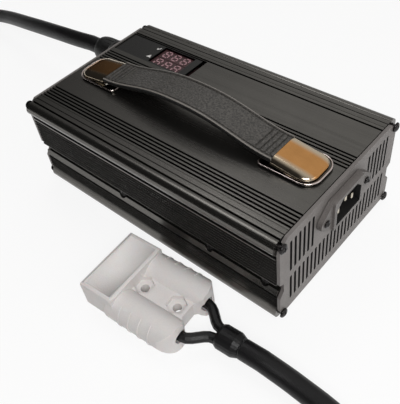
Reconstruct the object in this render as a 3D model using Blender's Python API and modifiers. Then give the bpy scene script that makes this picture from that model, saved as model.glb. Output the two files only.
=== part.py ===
"""A battery charger in an extruded aluminium case, with a carrying strap and a two-pole battery lead.

Everything is in metres, with +Z up. The case lies along X: the mains inlet is at its +X end, the
fan and the battery lead are at its -X end. The floor is z = 0.
"""

import math

import bmesh
import bpy
from mathutils import Matrix, Quaternion, Vector

# Clearances
SEAT_GAP = 0.0003  # between pieces that rest on each other
HOLE_GAP = 0.00025  # around a shank in its hole
RUNNING_GAP = 0.00006  # around the fan's shaft in its bearing

# Extruded case
CASE_LENGTH = 0.2006
CASE_WIDTH = 0.120
CASE_HEIGHT = 0.0672
BEAD_RADIUS = 0.005
SIDE_INSET = 0.0025  # the side panels lie this far inside the beads
DECK_DROP = 0.0008  # the top deck lies this far below the beads' crests
DECK_THICKNESS = 0.0022
SIDE_THICKNESS = 0.0025
BELLY_RISE = 0.0032  # the underside lies this far above the floor
FLOOR_THICKNESS = 0.0022
PORT_RADIUS = 0.0019  # screw ports that run the length of the beads
ARC_STEPS = 14

# The groove where the two extrusions meet
GROOVE_TOP = 0.0326
GROOVE_SHOULDER = 0.0019
GROOVE_DEPTH = 0.0034
GROOVE_FLOOR = 0.0241  # where the lower shell's bright slope starts
SLOPE_HEIGHT = 0.0044
LIP_THICKNESS = 0.0020
FLANGE_THICKNESS = 0.0020
FLANGE_HEIGHT = 0.0069  # of the lower shell's inner flange above the groove's floor

# Fine ribs on the side panels
RIB_PITCH = 0.0015
RIB_WIDTH = 0.0007
RIB_DEPTH = 0.0007
RIB_MARGIN = 0.0009

# Grooves along the top deck, by how far their middle lies from the case's side
DECK_GROOVE_WIDTH = 0.0015
DECK_GROOVE_DEPTH = 0.0012
DECK_GROOVE_PITCH = 0.0032
DECK_GROOVES_EACH = 4
FRONT_GROOVES_MARGIN = 0.0162
EDGE_GROOVE_MARGIN = 0.0172
EDGE_GROOVE_WIDTH = 0.0011
FINE_LINE_MARGIN = 0.0133
FINE_LINE_WIDTH = 0.0004
BEAD_VALLEY_WIDTH = 0.0012
BEAD_VALLEY_DEPTH = 0.0010

# End plates
PLATE_THICKNESS = 0.0020
PLATE_INSET = 0.0004
PLATE_NOTCH_RADIUS = 0.0024
SLOT_MARGIN = 0.0126
SLOT_WIDTH = 0.0019
SLOT_COUNT = 25
SLOT_CLEARANCE = 0.0020  # between the inlet's ears and the upper slots
LOW_SLOT_FOOT = 0.0110
LOW_SLOT_HEAD = 0.0312
HIGH_SLOT_FOOT = 0.0362
HIGH_SLOT_HEAD = 0.0605

# Pan-head screws
SCREW_RADIUS = 0.0015
SCREW_HEAD_RADIUS = 0.0030
SCREW_HEAD_HEIGHT = 0.0018
SCREW_LENGTH = 0.0100
SCREW_SIDES = 12
CROSS_WIDTH = 0.0008
CROSS_LENGTH = 0.0032
CROSS_DEPTH = 0.0009
SIDE_SCREW_LENGTH = 0.0056
SIDE_SCREW_RISE = 0.0023  # of the side screws above the groove's floor
SIDE_SCREW_PLACES = (-0.0215, 0.0520, 0.0915)
SIDE_HEAD_RADIUS = 0.0026
SIDE_POCKET_RADIUS = 0.0036

# Carrying handle
HANDLE_Y = -0.0055
STRAP_WIDTH = 0.0230
STRAP_THICKNESS = 0.0032
STRAP_RISE = 0.0098  # of the strap's crown above its ends
STRAP_END_RISE = 0.0076  # of the cap's inner edge above the deck
STRAP_FLATNESS = 1.25  # above 1, the crown is flatter than a plain wave
STRAP_HALF_LENGTH = 0.0675
STRAP_RIDGES = 4
STRAP_RIDGE_PITCH = 0.0029
STRAP_RIDGE_HEIGHT = 0.0005
TONGUE_LENGTH = 0.0175
TONGUE_THICKNESS = 0.0014
CAP_LENGTH = 0.0250
CAP_THICKNESS = 0.0014
CAP_OVERHANG = 0.0004  # of the cap past each side of the strap
CAP_DROP = 0.0034  # from the cap's inner edge to its outer edge
CAP_CORNER = 0.0080
BASE_MARGIN = 0.0036  # of the base past each side of the cap
BASE_REACH_IN = 0.0118
BASE_REACH_OUT = 0.0026
BASE_THICKNESS = 0.0014
BASE_CORNER = 0.0100
WEDGE_MARGIN = 0.0030
HANDLE_SCREW_RADIUS = 0.0020
HANDLE_SCREW_INSET = 0.0055

# Display
DISPLAY_LEFT = 0.0010  # from the fan end of the extrusion to the overlay
DISPLAY_LENGTH = 0.0722
DISPLAY_WIDTH = 0.0236
DISPLAY_MARGIN = 0.0007  # between the overlay's recess and the groove behind it
BACK_GROOVES_MARGIN = 0.0024  # between the recess and the nearest groove's middle
OVERLAY_THICKNESS = 0.0006
OVERLAY_SUNK = 0.0006
WINDOW_LENGTH = 0.0420
WINDOW_MARGIN = 0.0025
DIGITS_LENGTH = 0.0240
DIGITS_WIDTH = 0.0092
DIGITS_HEIGHT = 0.0040
DIGITS_GAP = 0.0009
DISPLAY_BOARD_THICKNESS = 0.0016
DISPLAY_BOARD_MARGIN = 0.0030

# Mains inlet
INLET_DROP = 0.0166  # of the inlet's middle below the deck
INLET_FLANGE_THICKNESS = 0.0030
INLET_EAR_SPAN = 0.0055  # between the block's side and each screw's axis
INLET_EAR_RADIUS = 0.0048
INLET_BLOCK_WIDTH = 0.0290
INLET_BLOCK_HEIGHT = 0.0215
INLET_COLLAR = 0.0014  # of the block past the flange
INLET_BODY_STEP = 0.0010  # of the body inside the block, all round
INLET_BODY_DEPTH = 0.0175
INLET_WALL = 0.0025  # between the block's sides and the socket
INLET_CAVITY_CHAMFER = 0.0048
INLET_CAVITY_DEPTH = 0.0165
INLET_PIN_WIDTH = 0.0020
INLET_PIN_HEIGHT = 0.0040
INLET_PIN_REACH = 0.0145
INLET_PIN_TAIL = 0.0050
INLET_PIN_SPACING = 0.0070
INLET_PIN_RISE = 0.0020
INLET_SCREW_LENGTH = 0.0080

# Cable gland
GLAND_MARGIN = 0.0320  # between the case's side and the gland's axis
GLAND_DROP = 0.0124  # of the gland's axis below the deck
GLAND_HEX_RADIUS = 0.0106
GLAND_HEX_THICKNESS = 0.0050
GLAND_THREAD_RADIUS = 0.0080
GLAND_THREAD_LENGTH = 0.0070
GLAND_NUT_RADIUS = 0.0098
GLAND_NUT_LENGTH = 0.0165
GLAND_MOUTH_RADIUS = 0.0078

# Fan
FAN_SIZE = 0.0500
FAN_DEPTH = 0.0150
FAN_Z = 0.0345
FAN_WALL = 0.0014
FAN_TIP_GAP = 0.0008
FAN_HOLE_MARGIN = 0.0050
FAN_HUB_RADIUS = 0.0100
FAN_HUB_DEPTH = 0.0090
FAN_SHAFT_RADIUS = 0.0015
FAN_SHAFT_LENGTH = 0.0035
FAN_SPIDER_DEPTH = 0.0030
FAN_SPIDER_WIDTH = 0.0030
FAN_SPIDER_GAP = 0.0008
FAN_BLADES = 7
FAN_BLADE_THICKNESS = 0.0012
FAN_BLADE_CHORD = 0.0105
FAN_BLADE_PITCH = math.radians(42)
FAN_SCREW_LENGTH = 0.0090
GRILLE_BAR = 0.0018
GRILLE_RINGS = 4
GRILLE_SPOKES = 4

# Circuit board and what stands on it
BOARD_LEFT = 0.0235  # from the fan end of the extrusion to the board
BOARD_RIGHT = 0.0180
BOARD_THICKNESS = 0.0016
BOARD_REST = 0.0098  # top of the rails that the board lies on
RAIL_DEPTH = 0.0025
RAIL_HEIGHT = 0.0012
SINK_LENGTH = 0.1100
SINK_HEIGHT = 0.0340
SINK_THICKNESS = 0.0030
SINK_FIN_LENGTH = 0.0060
SINK_FINS = 6
SINK_MARGIN = 0.0040
CORE_LENGTH = 0.0420
CORE_WIDTH = 0.0210
CORE_HEIGHT = 0.0330
WINDING_RADIUS = 0.0165
CHOKE_RADIUS = 0.0120
CHOKE_TUBE = 0.0060
BULK_RADIUS = 0.0110
BULK_HEIGHT = 0.0350
OUTPUT_RADIUS = 0.0065
OUTPUT_HEIGHT = 0.0250

# Two-pole battery connector, lying flat beside the case
CONNECTOR_LENGTH = 0.0699
CONNECTOR_WIDTH = 0.0503
CONNECTOR_HEIGHT = 0.0221
CONNECTOR_X = 0.0329
CONNECTOR_Y = -0.0933
CONNECTOR_TURN = math.radians(4.2)
BARREL_RADIUS = 0.0102
WEB_THICKNESS = 0.0100
HOOD_LENGTH = 0.0240
HOOD_SETBACK = 0.0050
HOOD_WIDTH = 0.0450
HOOD_FOOT = 0.0105
TONGUE_WIDTH = 0.0185
TONGUE_HEIGHT = 0.0125
TONGUE_GAP = 0.0060
PORT_WIDTH = 0.0118
PORT_HEIGHT = 0.0100
PORT_DEPTH = 0.0240
CORE_BORE_RADIUS = 0.0045
BOLT_RADIUS = 0.0033
BOLT_HEX_RADIUS = 0.0064
BOLT_HEX_DEPTH = 0.0016
BOLT_FIRST = 0.0335  # from the mating end to the first bolt hole
BOLT_SPACING = 0.0240
REAR_CORNER = 0.0120
GRIP_LINES = 4
GRIP_PITCH = 0.0072
GRIP_DEPTH = 0.0006
GRIP_WIDTH = 0.0008
CONTACT_WIDTH = 0.0075
CONTACT_THICKNESS = 0.0026
CONTACT_RISE = 0.0024  # of the blade's middle above the port's floor
CONTACT_LENGTH = 0.0200

# Battery lead
CORD_RADIUS = 0.0060
CORD_STEP = 0.0280  # between the points of the tube
CORD_STRAIGHT = 0.0120  # at each end of the tube
CORE_RADIUS = 0.0031
CORE_FREE_LENGTH = 0.0170
CORE_HELD_LENGTH = 0.0120
CORE_CURVE = 0.9  # share of the free length over which the cores draw together
CORE_STEPS = 6
BOOT_LENGTH = 0.0140
BOOT_GROWTH = 0.0014

# Worked out from the values above
HALF_WIDTH = CASE_WIDTH / 2
SIDE_Y = HALF_WIDTH - SIDE_INSET
BEAD_Y = HALF_WIDTH - BEAD_RADIUS
EDGE_GROOVE_Y = HALF_WIDTH - EDGE_GROOVE_MARGIN
DISPLAY_BACK = EDGE_GROOVE_Y - EDGE_GROOVE_WIDTH / 2 - DISPLAY_MARGIN
DISPLAY_FRONT = DISPLAY_BACK - DISPLAY_WIDTH
BEAD_HIGH = CASE_HEIGHT - BEAD_RADIUS
BEAD_LOW = BEAD_RADIUS
DECK_Z = CASE_HEIGHT - DECK_DROP
CEILING_Z = DECK_Z - DECK_THICKNESS
FLOOR_Z = BELLY_RISE + FLOOR_THICKNESS
GROOVE_Y = SIDE_Y - GROOVE_DEPTH
LIP_FOOT = GROOVE_FLOOR + SEAT_GAP
LIP_INNER = GROOVE_Y - LIP_THICKNESS
FLANGE_OUTER = LIP_INNER - SEAT_GAP
FLANGE_INNER = FLANGE_OUTER - FLANGE_THICKNESS
SHELL_END = CASE_LENGTH / 2
PLATE_INNER = SHELL_END + SEAT_GAP
PLATE_OUTER = PLATE_INNER + PLATE_THICKNESS
SCREW_SEAT = PLATE_OUTER + SEAT_GAP
INLET_SEAT = PLATE_OUTER + SEAT_GAP
INLET_FACE = INLET_SEAT + INLET_FLANGE_THICKNESS + INLET_COLLAR
INLET_SCREW_SEAT = INLET_SEAT + INLET_FLANGE_THICKNESS + SEAT_GAP
CASE_X = (SCREW_SEAT - INLET_SCREW_SEAT) / 2  # puts the middle of the whole box at x = 0
INLET_Z = DECK_Z - INLET_DROP
INLET_SCREW_SPACING = INLET_BLOCK_WIDTH + 2 * INLET_EAR_SPAN
INLET_BODY_WIDTH = INLET_BLOCK_WIDTH - 2 * INLET_BODY_STEP
INLET_BODY_HEIGHT = INLET_BLOCK_HEIGHT - 2 * INLET_BODY_STEP
INLET_CAVITY_WIDTH = INLET_BLOCK_WIDTH - 2 * INLET_WALL
INLET_CAVITY_HEIGHT = INLET_BLOCK_HEIGHT - 2 * INLET_WALL
GLAND_Y = HALF_WIDTH - GLAND_MARGIN
GLAND_Z = DECK_Z - GLAND_DROP
FAN_BORE_RADIUS = FAN_SIZE / 2 - FAN_WALL
FAN_HOLE_SPACING = FAN_SIZE - 2 * FAN_HOLE_MARGIN
BASE_FOOT = DECK_Z + SEAT_GAP
BASE_TOP = BASE_FOOT + BASE_THICKNESS
CAP_INNER_Z = DECK_Z + STRAP_END_RISE
CAP_SLOPE = CAP_DROP / CAP_LENGTH
CAP_START = STRAP_HALF_LENGTH + SEAT_GAP
TONGUE_DROP = CAP_THICKNESS + SEAT_GAP
BOARD_TOP = BOARD_REST + SEAT_GAP + BOARD_THICKNESS
PARTS_FOOT = BOARD_TOP + SEAT_GAP
FAN_Y = -(FLANGE_INNER - RAIL_DEPTH - SEAT_GAP - FAN_SIZE / 2)
FAN_BACK = -PLATE_INNER + SEAT_GAP
FAN_FRONT = FAN_BACK + FAN_DEPTH
GLAND_SEAT = -(PLATE_OUTER + SEAT_GAP)
NUT_SEAT = GLAND_SEAT - GLAND_HEX_THICKNESS - SEAT_GAP
GLAND_MOUTH = NUT_SEAT - GLAND_NUT_LENGTH

ALONG_X = (math.pi / 2, 0, math.pi / 2)  # an outline's own x and y become Y and Z
ALONG_Y = (math.pi / 2, 0, 0)  # an outline's own x and y become X and Z
UPRIGHT = (0, 0, 0)

parts = None
cutters = None
case_frame = None
connector_frame = None


def start_scene():
    """Empty the scene, and make the two collections and the frames that carry the pieces."""
    global parts, cutters, case_frame, connector_frame
    for obj in list(bpy.data.objects):
        bpy.data.objects.remove(obj)
    parts = bpy.data.collections.new("battery_charger")
    cutters = bpy.data.collections.new("cutters")
    for group in (parts, cutters):
        bpy.context.scene.collection.children.link(group)
    case_frame = bpy.data.objects.new("case_frame", None)
    case_frame.location.x = CASE_X
    connector_frame = bpy.data.objects.new("connector_frame", None)
    connector_frame.location = (CONNECTOR_X, CONNECTOR_Y, 0)
    connector_frame.rotation_euler.z = CONNECTOR_TURN
    for frame in (case_frame, connector_frame):
        parts.objects.link(frame)


def finish(name, colour, roughness, metallic):
    """A Principled material, made once for each name."""
    found = bpy.data.materials.get(name)
    if found:
        return found
    made = bpy.data.materials.new(name)
    made.use_nodes = True
    shader = made.node_tree.nodes["Principled BSDF"]
    shader.inputs["Base Color"].default_value = (*colour, 1)
    shader.inputs["Roughness"].default_value = roughness
    shader.inputs["Metallic"].default_value = metallic
    return made


FINISHES = {
    "anodised_black": ((0.020, 0.019, 0.018), 0.42, 0.9),
    "plate_black": ((0.10, 0.095, 0.09), 0.55, 0.3),
    "screw_black": ((0.03, 0.03, 0.03), 0.35, 0.9),
    "polished_cap": ((0.75, 0.72, 0.68), 0.08, 1.0),
    "strap_leather": ((0.045, 0.043, 0.040), 0.6, 0.0),
    "overlay_film": ((0.012, 0.012, 0.014), 0.12, 0.0),
    "black_plastic": ((0.025, 0.025, 0.025), 0.4, 0.0),
    "grey_plastic": ((0.62, 0.60, 0.59), 0.45, 0.0),
    "nickel_pin": ((0.75, 0.73, 0.68), 0.2, 1.0),
    "silver_contact": ((0.80, 0.79, 0.76), 0.25, 1.0),
    "cable_black": ((0.018, 0.017, 0.022), 0.38, 0.0),
    "board_green": ((0.02, 0.16, 0.06), 0.5, 0.0),
    "digit_grey": ((0.20, 0.18, 0.18), 0.4, 0.0),
    "plain_aluminium": ((0.70, 0.70, 0.70), 0.4, 1.0),
    "ferrite_grey": ((0.08, 0.08, 0.085), 0.6, 0.0),
    "copper_winding": ((0.55, 0.25, 0.10), 0.35, 0.6),
    "capacitor_sleeve": ((0.03, 0.04, 0.09), 0.35, 0.0),
}


def keep(obj, finish_name, frame=None):
    """Put a finished piece in the parts collection, with its material and the frame that carries it."""
    if obj.name not in parts.objects:
        parts.objects.link(obj)
    obj.data.materials.clear()
    obj.data.materials.append(finish(finish_name, *FINISHES[finish_name]))
    obj.parent = frame
    return obj


def as_cutter(obj, frame=None):
    """Turn an object into a hidden cutter."""
    cutters.objects.link(obj)
    obj.parent = frame
    obj.hide_render = True
    obj.display_type = "WIRE"
    return obj


def shade(mesh, angle=35):
    """Smooth shading with sharp edges."""
    mesh.shade_smooth()
    mesh.set_sharp_from_angle(angle=math.radians(angle))


def from_bmesh(name, bm, location=(0, 0, 0), rotation=(0, 0, 0)):
    """An object from a finished bmesh."""
    mesh = bpy.data.meshes.new(name)
    bm.normal_update()
    bm.to_mesh(mesh)
    bm.free()
    shade(mesh)
    obj = bpy.data.objects.new(name, mesh)
    obj.location = location
    obj.rotation_euler = rotation
    return obj


def box(name, size, location, rotation=(0, 0, 0)):
    """A box primitive of the given size, about its middle."""
    bm = bmesh.new()
    bmesh.ops.create_cube(bm, size=1)
    bmesh.ops.scale(bm, vec=size, verts=bm.verts)
    return from_bmesh(name, bm, location, rotation)


def rod(name, radius, length, location, axis="Z", sides=24):
    """A cylinder primitive about its middle, along one axis."""
    bm = bmesh.new()
    bmesh.ops.create_cone(bm, cap_ends=True, segments=sides, radius1=radius, radius2=radius, depth=length)
    turn = {"X": (0, math.pi / 2, 0), "Y": (-math.pi / 2, 0, 0), "Z": (0, 0, 0)}[axis]
    return from_bmesh(name, bm, location, turn)


def solid_outline(name, outlines, thickness, location=(0, 0, 0), rotation=UPRIGHT):
    """A flat outline with its holes, as a filled 2D curve with thickness, made a welded mesh."""
    curve = bpy.data.curves.new(name, "CURVE")
    curve.dimensions = "2D"
    curve.fill_mode = "BOTH"
    curve.extrude = thickness / 2
    for points in outlines:
        spline = curve.splines.new("POLY")
        spline.points.add(len(points) - 1)
        for point, (x, y) in zip(spline.points, points):
            point.co = (x, y, 0, 1)
        spline.use_cyclic_u = True
    guide = bpy.data.objects.new(name + "_outline", curve)
    cutters.objects.link(guide)
    bpy.context.view_layer.update()
    mesh = bpy.data.meshes.new_from_object(guide.evaluated_get(bpy.context.evaluated_depsgraph_get()))
    bpy.data.objects.remove(guide)
    bm = bmesh.new()
    bm.from_mesh(mesh)
    bmesh.ops.remove_doubles(bm, verts=bm.verts, dist=0.000002)
    bmesh.ops.recalc_face_normals(bm, faces=bm.faces)
    bpy.data.meshes.remove(mesh)
    return from_bmesh(name, bm, location, rotation)


def turned(name, profile, location, rotation=(0, 0, 0), steps=24):
    """A profile of (radius, height) points, from top to bottom, turned about Z with a Screw modifier."""
    mesh = bpy.data.meshes.new(name)
    mesh.from_pydata([(r, 0, z) for r, z in profile], [(i, i + 1) for i in range(len(profile) - 1)], [])
    obj = bpy.data.objects.new(name, mesh)
    screw = obj.modifiers.new("turn", "SCREW")
    screw.steps = steps
    screw.render_steps = steps
    screw.use_merge_vertices = True
    screw.merge_threshold = 0.000005
    obj.location = location
    obj.rotation_euler = rotation
    return obj


def boolean(target, other, operation, frame=None):
    """Cut, join or intersect a piece with another, which becomes a hidden cutter."""
    as_cutter(other, frame)
    modifier = target.modifiers.new(other.name, "BOOLEAN")
    modifier.operation = operation
    modifier.object = other
    modifier.solver = "EXACT"
    return target


def cut(target, other, frame=None):
    return boolean(target, other, "DIFFERENCE", frame)


def join(target, other, frame=None):
    return boolean(target, other, "UNION", frame)


def bevel(obj, width, segments=1, angle=40):
    """Rounded edges."""
    modifier = obj.modifiers.new("edges", "BEVEL")
    modifier.width = width
    modifier.segments = segments
    modifier.limit_method = "ANGLE"
    modifier.angle_limit = math.radians(angle)
    return obj


def baked(obj):
    """The object's mesh with its modifiers applied, so that copies can share it."""
    parts.objects.link(obj)
    bpy.context.view_layer.update()
    mesh = bpy.data.meshes.new_from_object(obj.evaluated_get(bpy.context.evaluated_depsgraph_get()))
    name = obj.name
    for modifier in obj.modifiers:
        if modifier.type == "BOOLEAN":
            bpy.data.objects.remove(modifier.object)
    bpy.data.objects.remove(obj)
    shade(mesh)
    mesh.name = name
    return mesh


def copy_of(mesh, name, location, rotation, finish_name, frame):
    """Another object with a shared mesh."""
    obj = bpy.data.objects.new(name, mesh)
    obj.location = location
    obj.rotation_euler = rotation
    return keep(obj, finish_name, frame)


def arc(cx, cy, radius, start, end, steps):
    """Points on an arc, from one angle to another, in degrees."""
    angles = [math.radians(start + (end - start) * i / steps) for i in range(steps + 1)]
    return [(cx + radius * math.cos(a), cy + radius * math.sin(a)) for a in angles]


def mirrored(points):
    """The same points on the other side, in the other order."""
    return [(-x, y) for x, y in reversed(points)]


def rounded_box(left, right, foot, head, radius, steps=4):
    """A rectangle's outline with round corners."""
    radius = min(radius, (right - left) / 2, (head - foot) / 2)
    return (
        arc(right - radius, foot + radius, radius, -90, 0, steps)
        + arc(right - radius, head - radius, radius, 0, 90, steps)
        + arc(left + radius, head - radius, radius, 90, 180, steps)
        + arc(left + radius, foot + radius, radius, 180, 270, steps)
    )


def side_ribs(foot, head):
    """Fine ribs up a side panel, between two heights, as (y, z) points."""
    count = int((head - foot + RIB_PITCH - RIB_WIDTH) / RIB_PITCH)
    spare = head - foot - (count - 1) * RIB_PITCH - RIB_WIDTH
    points = []
    for i in range(count):
        z = foot + spare / 2 + i * RIB_PITCH
        points += [
            (SIDE_Y - RIB_DEPTH, z),
            (SIDE_Y, z),
            (SIDE_Y, z + RIB_WIDTH),
            (SIDE_Y - RIB_DEPTH, z + RIB_WIDTH),
        ]
    return points[1:-1]


def bead_joint():
    """Half the height that a side panel leaves open on its bead."""
    return math.sqrt(BEAD_RADIUS**2 - (BEAD_RADIUS - SIDE_INSET) ** 2)


def deck_groove(middle, width, depth):
    """One groove across the deck's outline, from +Y to -Y."""
    slope = width / 8
    return [
        (middle + width / 2, DECK_Z),
        (middle + width / 2 - slope, DECK_Z - depth),
        (middle - width / 2 + slope, DECK_Z - depth),
        (middle - width / 2, DECK_Z),
    ]


def deck_points():
    """The top deck from +Y to -Y, with its grooves."""
    places = [(EDGE_GROOVE_Y, EDGE_GROOVE_WIDTH, DECK_GROOVE_DEPTH)]
    behind = DISPLAY_FRONT - BACK_GROOVES_MARGIN
    before = FRONT_GROOVES_MARGIN - HALF_WIDTH
    for start, step in ((behind, -DECK_GROOVE_PITCH), (before, DECK_GROOVE_PITCH)):
        places += [(start + step * i, DECK_GROOVE_WIDTH, DECK_GROOVE_DEPTH) for i in range(DECK_GROOVES_EACH)]
    places.append((FINE_LINE_MARGIN - HALF_WIDTH, FINE_LINE_WIDTH, FINE_LINE_WIDTH))
    points = []
    for middle, width, depth in sorted(places, reverse=True):
        points += deck_groove(middle, width, depth)
    return points


def top_shell_side():
    """The outside of the upper shell at +Y, from its lip up over the bead to the deck."""
    joint = bead_joint()
    valley_z = DECK_Z - BEAD_VALLEY_DEPTH
    valley_angle = 180 - math.degrees(math.asin((valley_z - BEAD_HIGH) / BEAD_RADIUS))
    joint_angle = -math.degrees(math.asin(joint / BEAD_RADIUS))
    bead = arc(BEAD_Y, BEAD_HIGH, BEAD_RADIUS, joint_angle, valley_angle, ARC_STEPS)
    valley_y = bead[-1][0] - BEAD_VALLEY_WIDTH
    return (
        [(LIP_INNER, LIP_FOOT), (GROOVE_Y, LIP_FOOT)]
        + [(GROOVE_Y, GROOVE_TOP - GROOVE_SHOULDER), (SIDE_Y, GROOVE_TOP)]
        + side_ribs(GROOVE_TOP + RIB_MARGIN, BEAD_HIGH - joint - RIB_MARGIN)
        + bead
        + [(valley_y, valley_z), (valley_y - BEAD_VALLEY_DEPTH, DECK_Z)]
    )


def top_shell_inside():
    """The inside of the upper shell at +Y, from the ceiling down to its lip."""
    wall = SIDE_Y - SIDE_THICKNESS
    step = wall - LIP_INNER
    shoulder = GROOVE_TOP + LIP_THICKNESS
    boss = BEAD_HIGH - BEAD_RADIUS
    return [
        (BEAD_Y - BEAD_RADIUS, CEILING_Z),
        (BEAD_Y - BEAD_RADIUS, BEAD_HIGH),
        (wall, boss),
        (wall, shoulder + step),
        (LIP_INNER, shoulder),
    ]


def screw_ports(z):
    return [arc(side * BEAD_Y, z, PORT_RADIUS, 0, 330, 11) for side in (1, -1)]


def bottom_shell_side():
    """The outside of the lower shell at +Y, from its inner flange out over the slope and round the bead."""
    joint = bead_joint()
    joint_angle = math.degrees(math.asin(joint / BEAD_RADIUS))
    belly_angle = -180 - math.degrees(math.asin((BELLY_RISE - BEAD_LOW) / BEAD_RADIUS))
    ribs = side_ribs(BEAD_LOW + joint + RIB_MARGIN, GROOVE_FLOOR - SLOPE_HEIGHT - RIB_MARGIN)
    return (
        [
            (FLANGE_OUTER, GROOVE_FLOOR + FLANGE_HEIGHT),
            (FLANGE_OUTER, GROOVE_FLOOR),
            (GROOVE_Y, GROOVE_FLOOR),
            (SIDE_Y, GROOVE_FLOOR - SLOPE_HEIGHT),
        ]
        + ribs[::-1]
        + arc(BEAD_Y, BEAD_LOW, BEAD_RADIUS, joint_angle, belly_angle, ARC_STEPS)
    )


def bottom_shell_inside():
    """The inside of the lower shell at +Y, from the floor up past the board's two rails."""
    board_head = BOARD_TOP + SEAT_GAP
    rail = FLANGE_INNER - RAIL_DEPTH
    return [
        (FLANGE_INNER, FLOOR_Z),
        (FLANGE_INNER, BOARD_REST - RAIL_HEIGHT),
        (rail, BOARD_REST - RAIL_HEIGHT),
        (rail, BOARD_REST),
        (FLANGE_INNER, BOARD_REST),
        (FLANGE_INNER, board_head),
        (rail, board_head),
        (rail, board_head + RAIL_HEIGHT),
        (FLANGE_INNER, board_head + RAIL_HEIGHT),
        (FLANGE_INNER, GROOVE_FLOOR + FLANGE_HEIGHT),
    ]


def side_chamber(side):
    """A hollow that runs through the lower shell's side, between its panel and its inner wall."""
    panel = SIDE_Y - SIDE_THICKNESS
    foot = 2 * BEAD_RADIUS + SEAT_GAP
    head = GROOVE_FLOOR - 2 * FLANGE_THICKNESS
    step = panel - FLANGE_OUTER
    points = [(FLANGE_OUTER, foot), (panel, foot), (panel, head - step), (FLANGE_OUTER, head)]
    return on_side(points, side)


def side_screw_z():
    return GROOVE_FLOOR + SIDE_SCREW_RISE


def display_span():
    """Where the overlay's recess starts and ends along the case."""
    left = -SHELL_END + DISPLAY_LEFT
    return left, left + DISPLAY_LENGTH


def window_span():
    """Where the window under the overlay starts and ends along the case."""
    right = display_span()[1] - 2 * WINDOW_MARGIN
    return right - WINDOW_LENGTH, right


def handle_screw_x():
    return CAP_START + HANDLE_SCREW_INSET


def top_shell():
    """The upper extrusion: deck, ribbed sides, beads, and the lip that hangs over the groove."""
    outside = top_shell_side()
    inside = top_shell_inside()
    outline = outside + deck_points() + mirrored(outside) + [(-y, z) for y, z in reversed(inside)] + inside
    shell = solid_outline("top_shell", [outline, *screw_ports(BEAD_HIGH)], CASE_LENGTH, rotation=ALONG_X)
    left, right = display_span()
    middle = (DISPLAY_FRONT + DISPLAY_BACK) / 2
    sunk = OVERLAY_THICKNESS + OVERLAY_SUNK + SEAT_GAP
    recess = (right - left, DISPLAY_BACK - DISPLAY_FRONT, 2 * sunk)
    cut(shell, box("display_recess", recess, ((left + right) / 2, middle, DECK_Z)), case_frame)
    near, far = window_span()
    opening = (far - near, DISPLAY_BACK - DISPLAY_FRONT - 2 * WINDOW_MARGIN, 4 * DECK_THICKNESS)
    cut(shell, box("window_opening", opening, ((near + far) / 2, middle, DECK_Z)), case_frame)
    for side in (-1, 1):
        spot = (side * handle_screw_x(), HANDLE_Y, DECK_Z)
        hole = rod("handle_hole", HANDLE_SCREW_RADIUS + HOLE_GAP, 4 * DECK_THICKNESS, spot, sides=16)
        cut(shell, hole, case_frame)
        for x in SIDE_SCREW_PLACES:
            spot = (x, side * (GROOVE_Y - LIP_THICKNESS / 2), side_screw_z())
            hole = rod("lip_hole", SCREW_RADIUS + HOLE_GAP, 3 * LIP_THICKNESS, spot, "Y", 12)
            cut(shell, hole, case_frame)
    return keep(shell, "anodised_black", case_frame)


def bottom_shell():
    """The lower extrusion: belly, ribbed sides, foot beads, bright slope, board rails and inner flange."""
    outside = bottom_shell_side()
    inside = bottom_shell_inside()
    outline = outside + mirrored(outside) + [(-y, z) for y, z in reversed(inside)] + inside
    holes = [*screw_ports(BEAD_LOW), side_chamber(1), side_chamber(-1)]
    shell = solid_outline("bottom_shell", [outline, *holes], CASE_LENGTH, rotation=ALONG_X)
    for side in (-1, 1):
        for x in SIDE_SCREW_PLACES:
            spot = (x, side * (FLANGE_OUTER + GROOVE_DEPTH + LIP_THICKNESS), side_screw_z())
            depth = 2 * (GROOVE_DEPTH + LIP_THICKNESS - SEAT_GAP / 2)
            cut(shell, rod("side_pocket", SIDE_POCKET_RADIUS, depth, spot, "Y", 20), case_frame)
            spot = (x, side * FLANGE_OUTER, side_screw_z())
            hole = rod("flange_hole", SCREW_RADIUS + HOLE_GAP, 3 * FLANGE_THICKNESS, spot, "Y", 12)
            cut(shell, hole, case_frame)
    return keep(shell, "anodised_black", case_frame)


def plate_outline():
    """An end plate's outline: it follows the groove, and each corner is notched round its screw."""
    side = SIDE_Y - PLATE_INSET
    groove = GROOVE_Y - PLATE_INSET
    head = DECK_Z - PLATE_INSET
    foot = BELLY_RISE + PLATE_INSET
    reach = BEAD_RADIUS - PLATE_INSET
    low = arc(BEAD_Y, BEAD_LOW, PLATE_NOTCH_RADIUS, 225, 45, 8)
    high = arc(BEAD_Y, BEAD_HIGH, PLATE_NOTCH_RADIUS, 315, 135, 8)
    half = (
        [(BEAD_Y - reach, foot)]
        + low
        + [
            (side, BEAD_LOW + reach),
            (side, GROOVE_FLOOR - SLOPE_HEIGHT),
            (groove, GROOVE_FLOOR),
            (groove, GROOVE_TOP - GROOVE_SHOULDER),
            (side, GROOVE_TOP),
            (side, BEAD_HIGH - reach),
        ]
        + high
        + [(BEAD_Y - reach, head)]
    )
    return half + mirrored(half)


def slot_outline(y, foot, head):
    return rounded_box(y - SLOT_WIDTH / 2, y + SLOT_WIDTH / 2, foot, head, SLOT_WIDTH / 2, 2)


def slot_outlines():
    """The two rows of air slots; the upper row leaves room for the inlet."""
    outlines = []
    span = CASE_WIDTH - 2 * SLOT_MARGIN
    clear = INLET_SCREW_SPACING / 2 + INLET_EAR_RADIUS + SLOT_CLEARANCE
    for i in range(SLOT_COUNT):
        y = span * i / (SLOT_COUNT - 1) - span / 2
        outlines.append(slot_outline(y, LOW_SLOT_FOOT, LOW_SLOT_HEAD))
        if abs(y) > clear:
            outlines.append(slot_outline(y, HIGH_SLOT_FOOT, HIGH_SLOT_HEAD))
    return outlines


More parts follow.
